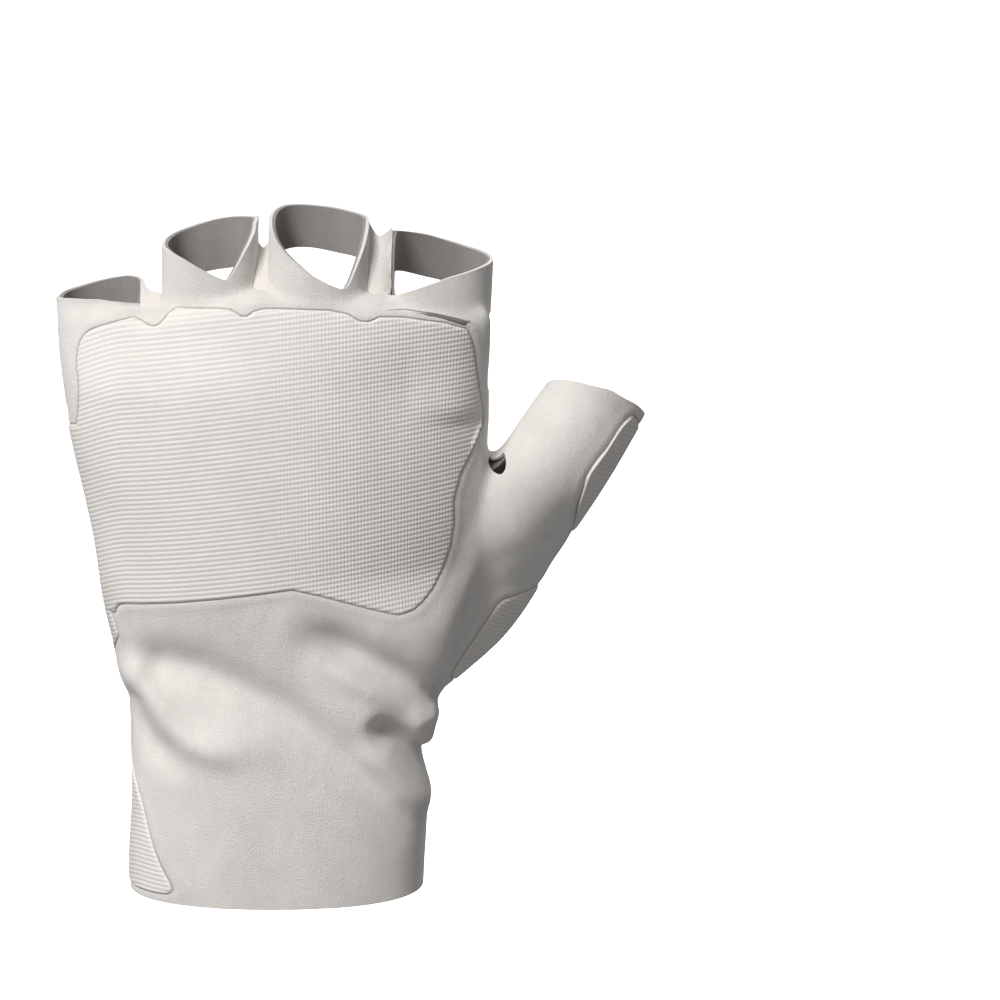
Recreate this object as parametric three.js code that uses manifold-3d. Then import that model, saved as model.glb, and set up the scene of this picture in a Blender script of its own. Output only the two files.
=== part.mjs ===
// An open-palm climbing glove for the left hand, standing as it does when a hand fills it.
// Millimetres, +Z towards the fingers, -Y out of the back of the hand, +X towards the thumb.
import * as THREE from "three";
import Module from "manifold-3d";

const wasm = await Module();
wasm.setup();
const { Manifold, Mesh: SolidMesh, CrossSection } = wasm;

// Driving sizes
const gloveHeight = 170; // hem to the tip of the middle loop
const handWidth = 104; // across the knuckles
const handDepth = 40; // back to palm at the wrist
const leather = 1.0;
const cloth = 1.0;
const ply = 0.2; // air between neighbouring layers
const rubber = 1.2;
const tape = 1.3;
const pileHeight = 1.6;
const strapThickness = 1.4;
const webThickness = 0.9;
const liningInset = 1.4; // how far the lining stops short of each leather edge
const cutterRun = 5; // how far a cutting shape runs past the edge that it opens
const sideSeam = 1; // depth at which the palm side of the leather begins
const thumbSeamSlope = 0.18; // how fast that depth grows towards the thumb's tip
const handFacets = 40;
const loopFacets = 24;

// Cross-sections of the hand, hem to crotch: heights are shares of gloveHeight,
// sides of handWidth and depths of handDepth.
const handSections = [
  { up: 0.000, ulnar: -0.356, radial: 0.346, back: -0.550, palm: 0.525, power: 2.10 },
  { up: 0.047, ulnar: -0.355, radial: 0.351, back: -0.545, palm: 0.525, power: 2.10 },
  { up: 0.088, ulnar: -0.350, radial: 0.356, back: -0.535, palm: 0.530, power: 2.10 },
  { up: 0.129, ulnar: -0.342, radial: 0.358, back: -0.525, palm: 0.537, power: 2.15 },
  { up: 0.176, ulnar: -0.342, radial: 0.363, back: -0.510, palm: 0.537, power: 2.15 },
  { up: 0.224, ulnar: -0.346, radial: 0.375, back: -0.495, palm: 0.525, power: 2.20 },
  { up: 0.271, ulnar: -0.354, radial: 0.385, back: -0.485, palm: 0.512, power: 2.20 },
  { up: 0.318, ulnar: -0.368, radial: 0.404, back: -0.480, palm: 0.500, power: 2.25 },
  { up: 0.359, ulnar: -0.377, radial: 0.423, back: -0.475, palm: 0.500, power: 2.25 },
  { up: 0.406, ulnar: -0.392, radial: 0.442, back: -0.470, palm: 0.495, power: 2.30 },
  { up: 0.453, ulnar: -0.402, radial: 0.462, back: -0.463, palm: 0.485, power: 2.30 },
  { up: 0.518, ulnar: -0.410, radial: 0.476, back: -0.455, palm: 0.470, power: 2.35 },
  { up: 0.582, ulnar: -0.428, radial: 0.486, back: -0.450, palm: 0.450, power: 2.40 },
  { up: 0.647, ulnar: -0.450, radial: 0.492, back: -0.445, palm: 0.430, power: 2.45 },
  { up: 0.706, ulnar: -0.467, radial: 0.500, back: -0.430, palm: 0.405, power: 2.50 },
  { up: 0.765, ulnar: -0.481, radial: 0.502, back: -0.405, palm: 0.375, power: 2.50 },
  { up: 0.824, ulnar: -0.492, radial: 0.510, back: -0.365, palm: 0.237, power: 2.50 },
  { up: 0.871, ulnar: -0.490, radial: 0.510, back: -0.315, palm: 0.125, power: 2.50 },
];

// Finger loops. The rim heights run round from the thumb side through the palm,
// the little-finger side and the back.
const loopFoot = 0.729;
const fingerLoops = [
  { name: "pinky", foot: -0.380, top: -0.398, depth: 0.075, width: 0.099, thick: 0.237, rim: [0.879, 0.885, 0.882, 0.878, 0.876, 0.875, 0.871, 0.871] },
  { name: "ring", foot: -0.135, top: -0.139, depth: 0.013, width: 0.106, thick: 0.263, rim: [0.953, 0.979, 0.974, 0.956, 0.944, 0.932, 0.909, 0.897] },
  { name: "middle", foot: 0.117, top: 0.121, depth: -0.025, width: 0.115, thick: 0.275, rim: [0.947, 0.985, 0.999, 0.995, 0.985, 0.941, 0.912, 0.891] },
  { name: "index", foot: 0.380, top: 0.399, depth: -0.013, width: 0.123, thick: 0.263, rim: [0.926, 0.932, 0.950, 0.959, 0.938, 0.888, 0.894, 0.914] },
];

// Thumb sleeve, from inside the wrist to the tip.
const thumbSections = [
  { across: 0.231, depth: 0.025, up: 0.212, width: 0.077, thick: 0.300 },
  { across: 0.322, depth: 0.050, up: 0.294, width: 0.087, thick: 0.325 },
  { across: 0.423, depth: 0.100, up: 0.388, width: 0.111, thick: 0.330 },
  { across: 0.519, depth: 0.163, up: 0.482, width: 0.127, thick: 0.312 },
  { across: 0.611, depth: 0.212, up: 0.568, width: 0.115, thick: 0.287 },
  { across: 0.678, depth: 0.237, up: 0.644, width: 0.117, thick: 0.275 },
  { across: 0.750, depth: 0.250, up: 0.719, width: 0.117, thick: 0.270 },
];
const thumbRim = [3.0, 1.2, -1.0, -2.4, -3.0, -0.6, 1.8, 3.2]; // mm past the last section, same compass

// Folds of the loose leather on the back of the wrist: height in mm, spread in mm,
// and a line of [share of handWidth, share of gloveHeight].
const wristFolds = [
  { height: 1.4, spread: 4.5, line: [[-0.341, 0.331], [-0.240, 0.283], [-0.162, 0.256], [-0.076, 0.250]] }, // outer ridge
  { height: -1.2, spread: 4.0, line: [[-0.334, 0.275], [-0.270, 0.243], [-0.217, 0.208]] }, // outer dent
  { height: -1.6, spread: 5.0, line: [[-0.265, 0.375], [-0.159, 0.369], [-0.025, 0.325], [0.081, 0.283], [0.175, 0.225], [0.238, 0.179], [0.343, 0.129]] }, // long valley
  { height: 1.8, spread: 4.5, line: [[0.055, 0.388], [0.136, 0.341], [0.239, 0.317], [0.388, 0.261]] }, // inner ridge
  { height: -1.2, spread: 4.0, line: [[0.031, 0.427], [0.109, 0.399], [0.240, 0.345], [0.394, 0.297]] }, // upper valley
  { height: -2.2, spread: 3.5, line: [[0.235, 0.277], [0.292, 0.243], [0.360, 0.198]] }, // sharp crease
  { height: 1.4, spread: 4.0, line: [[0.239, 0.238], [0.355, 0.161]] }, // lower ridge
];

// Outlines seen from the front or the back: [share of handWidth, share of gloveHeight].
const palmOpening = [
  [0.673, 0.844], [0.500, 0.854], [0.458, 0.861], [0.323, 0.888], [0.215, 0.905],
  [0.108, 0.916], [-0.013, 0.909], [-0.081, 0.888], [-0.188, 0.879], [-0.237, 0.864],
  [-0.255, 0.832], [-0.322, 0.804], [-0.389, 0.769], [-0.442, 0.740], [-0.464, 0.712],
  [-0.456, 0.681], [-0.433, 0.627], [-0.409, 0.575], [-0.381, 0.526], [-0.351, 0.487],
  [-0.310, 0.437], [-0.265, 0.401], [-0.190, 0.361], [-0.115, 0.332], [0.010, 0.290],
  [0.108, 0.254], [0.182, 0.226], [0.216, 0.208], [0.240, 0.193], [0.281, 0.185],
  [0.317, 0.188], [0.365, 0.204], [0.394, 0.215], [0.769, 0.353], [0.769, 0.588],
];
const thumbOpening = [
  [0.442, 0.682], [0.505, 0.624], [0.577, 0.553], [0.659, 0.474], [0.913, 0.306],
  [0.577, 0.118], [-0.096, 0.118], [-0.096, 0.682],
];
const hemCut = [
  [0.769, 0.153], [0.361, 0.118], [0.286, 0.097], [0.182, 0.068], [0.084, 0.041],
  [-0.017, 0.015], [-0.115, 0.002], [-0.115, -0.053], [0.769, -0.053],
];
const gripBack = [
  [-0.673, 0.691], [-0.445, 0.691], [-0.434, 0.741], [-0.435, 0.769], [-0.440, 0.791],
  [-0.435, 0.817], [-0.425, 0.828], [-0.406, 0.839], [-0.316, 0.855], [-0.298, 0.854],
  [-0.264, 0.844], [-0.248, 0.846], [-0.218, 0.866], [-0.190, 0.868], [-0.097, 0.869],
  [-0.079, 0.867], [-0.052, 0.856], [-0.024, 0.869], [0.041, 0.869], [0.171, 0.866],
  [0.221, 0.848], [0.266, 0.861], [0.449, 0.842], [0.467, 0.816], [0.476, 0.759],
  [0.488, 0.712], [0.488, 0.685], [0.420, 0.604], [0.421, 0.534], [0.385, 0.468],
  [0.341, 0.436], [0.308, 0.429], [0.289, 0.428], [0.061, 0.475], [0.021, 0.472],
  [-0.165, 0.457], [-0.339, 0.444], [-0.354, 0.438], [-0.359, 0.424], [-0.673, 0.424],
];
const gripPalm = [
  [-0.673, 0.659], [-0.455, 0.623], [-0.431, 0.571], [-0.402, 0.521], [-0.372, 0.481],
  [-0.329, 0.430], [-0.282, 0.391], [-0.204, 0.350], [-0.127, 0.320], [-0.002, 0.278],
  [0.096, 0.241], [0.170, 0.214], [0.144, 0.219], [0.019, 0.215], [-0.264, 0.220],
  [-0.288, 0.229], [-0.346, 0.256], [-0.673, 0.256],
];
const bindingBand = [
  [-0.354, 0.486], [-0.312, 0.436], [-0.267, 0.399], [-0.192, 0.360], [-0.117, 0.331],
  [0.008, 0.288], [0.106, 0.252], [0.180, 0.224], [0.214, 0.209], [0.201, 0.201],
  [0.171, 0.215], [0.097, 0.243], [-0.000, 0.279], [-0.126, 0.322], [-0.202, 0.351],
  [-0.280, 0.392], [-0.327, 0.431], [-0.369, 0.482],
];
const thumbPatchBack = [
  [0.865, 0.715], [0.833, 0.695], [0.759, 0.626], [0.730, 0.608], [0.712, 0.558],
  [0.688, 0.524], [0.650, 0.488], [0.612, 0.459], [0.591, 0.447], [0.540, 0.434],
  [0.521, 0.420], [0.486, 0.385], [0.456, 0.361], [0.432, 0.342], [0.417, 0.312],
  [0.408, 0.294], [0.673, 0.235], [1.154, 0.588], [1.154, 0.715],
];
const thumbPatchPalm = [
  [0.572, 0.569], [0.590, 0.580], [0.753, 0.653], [0.846, 0.692], [1.154, 0.692],
  [0.913, 0.306], [0.668, 0.479], [0.583, 0.558],
];
const pileOutline = [
  [0.231, 0.188], [0.171, 0.209], [0.000, 0.206], [-0.144, 0.202], [-0.252, 0.208],
  [-0.269, 0.197], [-0.285, 0.121], [-0.294, 0.084], [-0.313, 0.021], [-0.169, 0.013],
  [-0.017, 0.028], [0.084, 0.054], [0.182, 0.081], [0.250, 0.103], [0.250, 0.171],
];
const tabOutline = [
  [0.356, 0.201], [0.258, 0.186], [0.028, 0.175], [-0.043, 0.112], [-0.013, 0.076],
  [0.182, 0.073], [0.317, 0.086], [0.356, 0.107],
];
const webStrips = {
  index: [
    [0.275, 0.882], [0.202, 0.882], [0.169, 0.800], [0.137, 0.726], [0.154, 0.712],
    [0.192, 0.709], [0.208, 0.724], [0.237, 0.800],
  ],
  middle: [
    [0.021, 0.882], [-0.058, 0.882], [-0.063, 0.829], [-0.077, 0.771], [-0.079, 0.729],
    [-0.054, 0.708], [-0.021, 0.709], [-0.006, 0.735], [0.000, 0.806],
  ],
  ring: [
    [-0.234, 0.865], [-0.312, 0.865], [-0.293, 0.771], [-0.279, 0.718], [-0.250, 0.691],
    [-0.217, 0.688], [-0.200, 0.712], [-0.217, 0.771],
  ],
};
// The tail of the grip panel down the outer side: [share of handDepth, share of gloveHeight].
const gripTail = [
  [0.050, 0.435], [0.050, 0.265], [0.000, 0.200], [-0.200, 0.153], [-0.275, 0.106], [-0.338, 0.059], [-0.400, 0.020], [-0.350, 0.011], [0.225, 0.011], [0.225, 0.259], [0.300, 0.435],
];

const power = (value, exponent) => Math.sign(value) * Math.abs(value) ** exponent;
const mix = (a, b, t) => a + (b - a) * t;

// Shortest distance from a point to a line of points.
function distanceToLine(x, z, line) {
  let best = Infinity;
  for (let i = 1; i < line.length; i++) {
    const [ax, az] = line[i - 1];
    const [bx, bz] = line[i];
    const length = (bx - ax) ** 2 + (bz - az) ** 2;
    const t = THREE.MathUtils.clamp(((x - ax) * (bx - ax) + (z - az) * (bz - az)) / length, 0, 1);
    best = Math.min(best, Math.hypot(x - mix(ax, bx, t), z - mix(az, bz, t)));
  }
  return best;
}

function foldHeight(x, y, z) {
  const onBack = THREE.MathUtils.smoothstep(-y, -0.1 * handDepth, 0.25 * handDepth);
  let height = 0;
  for (const fold of wristFolds) {
    const line = fold.line.map(([across, up]) => [across * handWidth, up * gloveHeight]);
    height += fold.height * Math.exp(-((distanceToLine(x, z, line) / fold.spread) ** 2));
  }
  return height * onBack;
}

// A closed solid through rings of points, with fans over both ends.
function loft(rings) {
  const count = rings[0].length;
  const points = rings.flat();
  const faces = [];
  for (let r = 0; r + 1 < rings.length; r++)
    for (let i = 0; i < count; i++) {
      const a = r * count + i;
      const b = r * count + ((i + 1) % count);
      faces.push([a, b, b + count], [a, b + count, a + count]);
    }
  for (const [ring, first, flip] of [
    [rings[0], 0, true],
    [rings.at(-1), points.length - count, false],
  ]) {
    const middle = [0, 1, 2].map((axis) => ring.reduce((sum, p) => sum + p[axis], 0) / count);
    points.push(middle);
    for (let i = 0; i < count; i++) {
      const pair = [first + i, first + ((i + 1) % count)];
      if (flip) pair.reverse();
      faces.push([...pair, points.length - 1]);
    }
  }
  const mesh = new SolidMesh({
    numProp: 3,
    vertProperties: new Float32Array(points.flat()),
    triVerts: new Uint32Array(faces.flat()),
  });
  return new Manifold(mesh);
}

// The hand without its fingers, moved outwards by offset. A cutter runs on past the hem.
function hand(offset, asCutter = false) {
  const sections = asCutter ? [{ ...handSections[0], up: -cutterRun / gloveHeight }, ...handSections] : handSections;
  const rings = sections.map((section, index) => {
    const last = index === sections.length - 1;
    const z = section.up * gloveHeight + (last ? offset : 0);
    const centreX = ((section.ulnar + section.radial) / 2) * handWidth;
    const centreY = ((section.back + section.palm) / 2) * handDepth;
    const radiusX = ((section.radial - section.ulnar) / 2) * handWidth;
    const radiusY = ((section.palm - section.back) / 2) * handDepth;
    return Array.from({ length: handFacets }, (_, i) => {
      const angle = (i / handFacets) * 2 * Math.PI;
      const cos = power(Math.cos(angle), 2 / section.power);
      const sin = power(Math.sin(angle), 2 / section.power);
      const normalX = power(cos, section.power - 1) / radiusX;
      const normalY = power(sin, section.power - 1) / radiusY;
      const x = centreX + radiusX * cos;
      const y = centreY + radiusY * sin;
      const out = (offset + foldHeight(x, y, z)) / Math.hypot(normalX, normalY);
      return [x + normalX * out, y + normalY * out, z];
    });
  });
  return loft(rings);
}

// Height of a rim at an angle, between its eight compass values.
function rimAt(rim, angle) {
  const place = ((angle / (2 * Math.PI)) * rim.length + rim.length) % rim.length;
  const index = Math.floor(place);
  const t = THREE.MathUtils.smoothstep(place - index, 0, 1);
  return mix(rim[index], rim[(index + 1) % rim.length], mix(place - index, t, 0.5));
}

// Every tube is drawn through the same rings, and ends at the cloth's edge, at the rim or past it.
const tubeEnds = { cloth: -liningInset, leather: 0, cutter: cutterRun };
const endsUpTo = (end) => Object.values(tubeEnds).slice(0, Object.keys(tubeEnds).indexOf(end) + 1);

function fingerLoop(loop, offset, end) {
  const radiusX = loop.width * handWidth + offset;
  const radiusY = loop.thick * handDepth + offset;
  const foot = loopFoot * gloveHeight;
  const stops = [[0, 0], [0.45, 0], ...endsUpTo(end).map((rise) => [1, rise])];
  const rings = stops.map(([t, rise]) =>
    Array.from({ length: loopFacets }, (_, i) => {
      const angle = (i / loopFacets) * 2 * Math.PI;
      return [
        mix(loop.foot, loop.top, t) * handWidth + radiusX * power(Math.cos(angle), 0.9),
        loop.depth * handDepth + radiusY * power(Math.sin(angle), 0.9),
        mix(foot, rimAt(loop.rim, angle) * gloveHeight, t) + rise,
      ];
    }),
  );
  return loft(rings);
}

function thumb(offset, end) {
  const centres = thumbSections.map(
    (s) => new THREE.Vector3(s.across * handWidth, s.depth * handDepth, s.up * gloveHeight),
  );
  const rings = thumbSections.flatMap((section, index) => {
    const before = centres[Math.max(index - 1, 0)];
    const after = centres[Math.min(index + 1, centres.length - 1)];
    const along = after.clone().sub(before).normalize();
    const towardsBack = new THREE.Vector3(0, 1, 0);
    const side = towardsBack.clone().cross(along).normalize();
    const depth = along.clone().cross(side).normalize();
    const last = index === thumbSections.length - 1;
    return (last ? endsUpTo(end) : [0]).map((rise) =>
      Array.from({ length: loopFacets }, (_, i) => {
        const angle = (i / loopFacets) * 2 * Math.PI;
        const width = section.width * handWidth + offset;
        const thick = section.thick * handDepth + offset;
        return centres[index]
          .clone()
          .addScaledVector(side, width * Math.cos(angle))
          .addScaledVector(depth, thick * Math.sin(angle))
          .addScaledVector(along, last ? rimAt(thumbRim, angle) + rise : 0)
          .toArray();
      }),
    );
  });
  return loft(rings);
}

const form = (offset, end) =>
  Manifold.union([
    hand(offset, end === "cutter"),
    ...fingerLoops.map((loop) => fingerLoop(loop, offset, end)),
    thumb(offset, end),
  ]);

// A layer of the glove between two offsets from its leather face.
const layer = (inner, outer) => form(outer, "leather").subtract(form(inner, "cutter"));

function section(outline, grow = 0) {
  const points = outline.map(([across, up]) => [across * handWidth, up * gloveHeight]);
  const flat = new CrossSection([points], "EvenOdd");
  return grow ? flat.offset(grow, "Miter") : flat;
}

// An outline carried through the glove from one depth to another.
const through = (outline, from, to, grow = 0) =>
  section(outline, grow)
    .extrude(to - from)
    .rotate([90, 0, 0])
    .translate([0, to, 0]);
const onPalm = (outline, grow = 0) => through(outline, sideSeam, handDepth, grow);
// The same, behind a seam that slants with the thumb.
const onThumbPalm = (outline, grow = 0) =>
  onPalm(outline, grow).warp((point) => {
    point[1] += thumbSeamSlope * Math.max(point[0] - thumbSections[0].across * handWidth, 0);
  });
const onBack = (outline, depth = sideSeam) => through(outline, -handDepth, depth);

// A fitted skin with the open palm, the thumb's free edge and the slanted palm hem cut out of it.
function skin(inner, outer, end) {
  const inset = -tubeEnds[end];
  const palmless = Manifold.union([
    hand(outer),
    ...fingerLoops.map((loop) => fingerLoop(loop, outer, end)),
  ]).subtract(onPalm(palmOpening, inset));
  const sleeve = thumb(outer, end).subtract(onThumbPalm(thumbOpening, inset));
  return palmless
    .add(sleeve)
    .subtract(form(inner, "cutter"))
    .subtract(onPalm(hemCut, inset))
    .trimByPlane([0, 0, 1], inset);
}

const largest = (solid) => solid.decompose().sort((a, b) => b.volume() - a.volume())[0];

const liningFace = -leather - ply;
const webFace = liningFace - cloth - ply;
const grip = Manifold.union([
  onBack(gripBack),
  onPalm(gripPalm),
  new CrossSection([gripTail.map(([depth, up]) => [depth * handDepth, up * gloveHeight])], "EvenOdd")
    .extrude(handWidth)
    .rotate([90, 0, 90])
    .translate([-1.2 * handWidth, 0, 0]),
]);

const solids = {
  suede_shell: skin(-leather, 0, "leather"),
  lining: skin(liningFace - cloth, liningFace, "cloth"),
  grip_panel: layer(ply, ply + rubber).intersect(grip).subtract(thumb(ply, "cutter")),
  thumb_patch: layer(ply, ply + rubber).intersect(
    onBack(thumbPatchBack, thumbSections.at(-1).depth * handDepth)
      .add(through(thumbPatchPalm, sideSeam, handDepth))
      .subtract(onThumbPalm(thumbOpening, ply)),
  ),
  palm_binding: layer(ply, ply + tape).intersect(onPalm(bindingBand)),
  loop_patch: layer(ply, ply + pileHeight).intersect(onPalm(pileOutline)),
  strap_tab: layer(2 * ply + pileHeight, 2 * ply + pileHeight + strapThickness).intersect(
    onPalm(tabOutline),
  ),
};
for (const [finger, outline] of Object.entries(webStrips))
  solids[`web_strip_${finger}`] = layer(webFace - webThickness, webFace).intersect(
    through(outline, -handDepth, 0),
  );

const looks = {
  suede_shell: { color: "#e4ded9", roughness: 0.92, metalness: 0 },
  lining: { color: "#87827f", roughness: 0.98, metalness: 0 },
  grip_panel: { color: "#d9d3cf", roughness: 0.7, metalness: 0 },
  thumb_patch: { color: "#dcd6d2", roughness: 0.7, metalness: 0 },
  palm_binding: { color: "#a59f9c", roughness: 0.85, metalness: 0 },
  loop_patch: { color: "#0d0d0c", roughness: 1, metalness: 0 },
  strap_tab: { color: "#10100f", roughness: 0.6, metalness: 0 },
  web_strip_index: { color: "#6b6663", roughness: 0.9, metalness: 0 },
  web_strip_middle: { color: "#7b7673", roughness: 0.9, metalness: 0 },
  web_strip_ring: { color: "#827d79", roughness: 0.9, metalness: 0 },
};

const glove = new THREE.Group();
glove.name = "climbing_glove";
for (const [name, solid] of Object.entries(solids)) {
  const { vertProperties, triVerts, numProp } = largest(solid).simplify(0.02).getMesh();
  const geometry = new THREE.BufferGeometry();
  const positions = new Float32Array((vertProperties.length / numProp) * 3);
  for (let i = 0; i < positions.length / 3; i++)
    positions.set(vertProperties.subarray(i * numProp, i * numProp + 3), i * 3);
  geometry.setAttribute("position", new THREE.BufferAttribute(positions, 3));
  geometry.setIndex(new THREE.BufferAttribute(triVerts, 1));
  geometry.computeVertexNormals();
  const mesh = new THREE.Mesh(geometry, new THREE.MeshStandardMaterial(looks[name]));
  mesh.name = name;
  glove.add(mesh);
}

export default glove;
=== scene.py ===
import math

import bpy
import numpy as np
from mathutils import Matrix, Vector


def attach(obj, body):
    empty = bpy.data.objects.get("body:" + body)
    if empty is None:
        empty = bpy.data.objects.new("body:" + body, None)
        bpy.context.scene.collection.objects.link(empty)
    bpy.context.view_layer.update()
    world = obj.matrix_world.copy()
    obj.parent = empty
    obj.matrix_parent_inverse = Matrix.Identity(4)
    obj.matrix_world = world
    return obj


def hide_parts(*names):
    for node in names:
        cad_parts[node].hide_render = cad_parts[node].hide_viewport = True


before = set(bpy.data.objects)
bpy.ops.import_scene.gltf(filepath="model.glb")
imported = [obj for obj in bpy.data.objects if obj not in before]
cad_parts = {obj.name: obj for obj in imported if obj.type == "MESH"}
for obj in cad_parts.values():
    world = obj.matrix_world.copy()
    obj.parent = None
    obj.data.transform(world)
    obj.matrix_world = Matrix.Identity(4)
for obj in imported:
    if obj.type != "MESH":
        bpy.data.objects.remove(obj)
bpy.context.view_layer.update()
scene = bpy.context.scene
rng = np.random.default_rng(11)
mm = 0.001


# camera, as the photograph was taken
cameraSettings = {
    "aim": (0.0552, 0.0, 0.0981),
    "elevation": 14.0,
    "distance": 0.9,
    "lens": 132.8,
    "sensor": 36.0,
}


def placeCamera(settings):
    tilt = math.radians(settings["elevation"])
    aim = Vector(settings["aim"])
    cameraData = bpy.data.cameras.new("camera")
    cameraData.lens = settings["lens"]
    cameraData.sensor_width = settings["sensor"]
    cameraData.clip_end = 20.0
    camera = bpy.data.objects.new("camera", cameraData)
    scene.collection.objects.link(camera)
    away = Vector((0.0, -math.cos(tilt), math.sin(tilt)))
    camera.location = aim + away * settings["distance"]
    camera.rotation_euler = (aim - camera.location).to_track_quat("-Z", "Y").to_euler()
    scene.camera = camera


placeCamera(cameraSettings)
print("camera placed")


# the form of the filled glove, in millimetres, as a distance field
handSections = np.array(
    [
        # up, outer side, thumb side, back, palm, squareness
        (-12, -37.2, 36.0, -21.6, 21.0, 2.3),
        (0, -37.0, 36.0, -21.6, 21.0, 2.3),
        (8, -36.9, 36.5, -21.6, 21.0, 2.3),
        (15, -36.4, 37.0, -21.5, 21.2, 2.3),
        (22, -35.6, 37.2, -21.3, 21.5, 2.3),
        (30, -35.6, 37.8, -20.9, 21.5, 2.3),
        (38, -36.0, 39.0, -20.0, 21.0, 2.2),
        (46, -36.8, 40.4, -18.8, 20.5, 2.2),
        (54, -38.3, 42.0, -17.8, 20.0, 2.25),
        (61, -39.2, 44.0, -17.6, 20.0, 2.25),
        (69, -40.8, 46.0, -18.2, 19.8, 2.3),
        (77, -41.8, 48.0, -18.8, 19.4, 2.3),
        (88, -42.6, 49.5, -19.0, 18.8, 2.35),
        (99, -44.5, 51.4, -19.0, 18.0, 2.4),
        (110, -46.8, 52.2, -18.8, 17.2, 2.45),
        (120, -48.6, 52.4, -18.0, 16.2, 2.5),
        (130, -50.0, 52.2, -16.8, 15.0, 2.5),
        (140, -51.2, 53.0, -14.6, 9.5, 2.5),
        (148, -51.0, 53.0, -12.6, 5.0, 2.5),
    ],
    float,
)
crotchHeights = np.array(
    [
        (-48, 147.5), (-36, 147.5), (-31, 146.2), (-27, 146.6), (-14, 149), (-3, 151.5), (12, 149.5),
        (26, 150.5), (48, 147),
    ],
    float,
)
fingerFoot = 124.0
fingerTop = 168.0
fingerShape = {"squareness": 2.35, "foot": 6.0, "blend": 1.4}
# side walls at the foot and at the top, and rim heights by angle from the thumb side through the palm
fingers = {
    "pinky": {"foot": (-50.4, -29.6), "top": (-53.0, -31.0), "depth": 3.0, "thick": 9.5, "turn": 0.08,
              "rim": [(0, 149.6), (27, 151.8), (53, 151.8), (91, 150.7), (132, 149.1), (175, 148.2),
                      (230, 149.1), (274, 149), (306, 148.2), (326, 147.4), (342, 147)]},
    "ring": {"foot": (-26.4, -3.6), "top": (-25.9, -2.6), "depth": 0.5, "thick": 10.5, "turn": 0.0,
             "rim": [(3, 167.2), (24, 167.2), (62, 166.6), (89, 165.7), (122, 163.9), (154, 162.4),
                     (183, 161.6), (212, 161), (238, 159.4), (265, 156.7), (282, 155.1), (296, 153.8),
                     (305, 156.8), (319, 161.1), (334, 164.1), (352, 166.9)]},
    "middle": {"foot": (-1.4, 24.2), "top": (0.0, 23.9), "depth": -1.0, "thick": 11.0, "turn": 0.06,
               "rim": [(5, 167.6), (26, 167.6), (49, 167.9), (79, 168.9), (109, 169.6), (135, 169.9),
                       (159, 169.1), (180, 167.8), (200, 165.8), (216, 163.4), (244, 159.1), (265, 155.8),
                       (284, 153.5), (296, 152.4), (304, 151.9), (313, 156), (326, 160.2), (344, 164.9)]},
    "index": {"foot": (27.4, 52.0), "top": (28.6, 54.2), "depth": 1.4, "thick": 10.5, "turn": 0.24,
              "rim": [(3, 157), (30, 157.5), (59, 158.7), (83, 160.3), (107, 162), (133, 163.3),
                      (162, 164.5), (176, 161.1), (188, 154.4), (198, 150.4), (216, 150.3), (245, 152.2),
                      (282, 154.8), (318, 156.3), (346, 157)]},
}
thumbAxis = np.array(
    [
        # across, depth, up, half width, half thickness
        (26.5, 9.5, 41.0, 7.0, 10.0),
        (36.5, 15.0, 54.3, 9.8, 9.8),
        (43.2, 17.5, 61.7, 13.2, 9.8),
        (49.4, 18.0, 71.6, 14.2, 10.2),
        (55.4, 16.0, 83.2, 14.2, 11.2),
        (61.5, 11.0, 93.0, 13.6, 12.4),
        (67.0, 6.2, 102.6, 13.2, 13.2),
        (72.8, 6.8, 112.3, 13.1, 12.4),
        (79.6, 10.0, 122.0, 12.2, 10.8),
    ],
    float,
)
# how far the sleeve's rim passes the last section, by angle from the outside through the palm
thumbRim = [(0, 2), (45, -1.5), (90, -4), (135, -4.6), (180, -3.4), (225, 1.6), (270, 4.8), (315, 4.6)]
thumbShape = {
    # lean of the sleeve's outer side, fading along its length, and how softly it joins the hand
    "turn": 0.5,
    "turnFades": (0.62, 0.9),
    "oneSided": (0.45, 0.65),
    "squareness": 2.1,
    "foot": 6.0,
    "blend": (8.0, 3.0),
    "blendFades": (84.0, 106.0),
}
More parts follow.
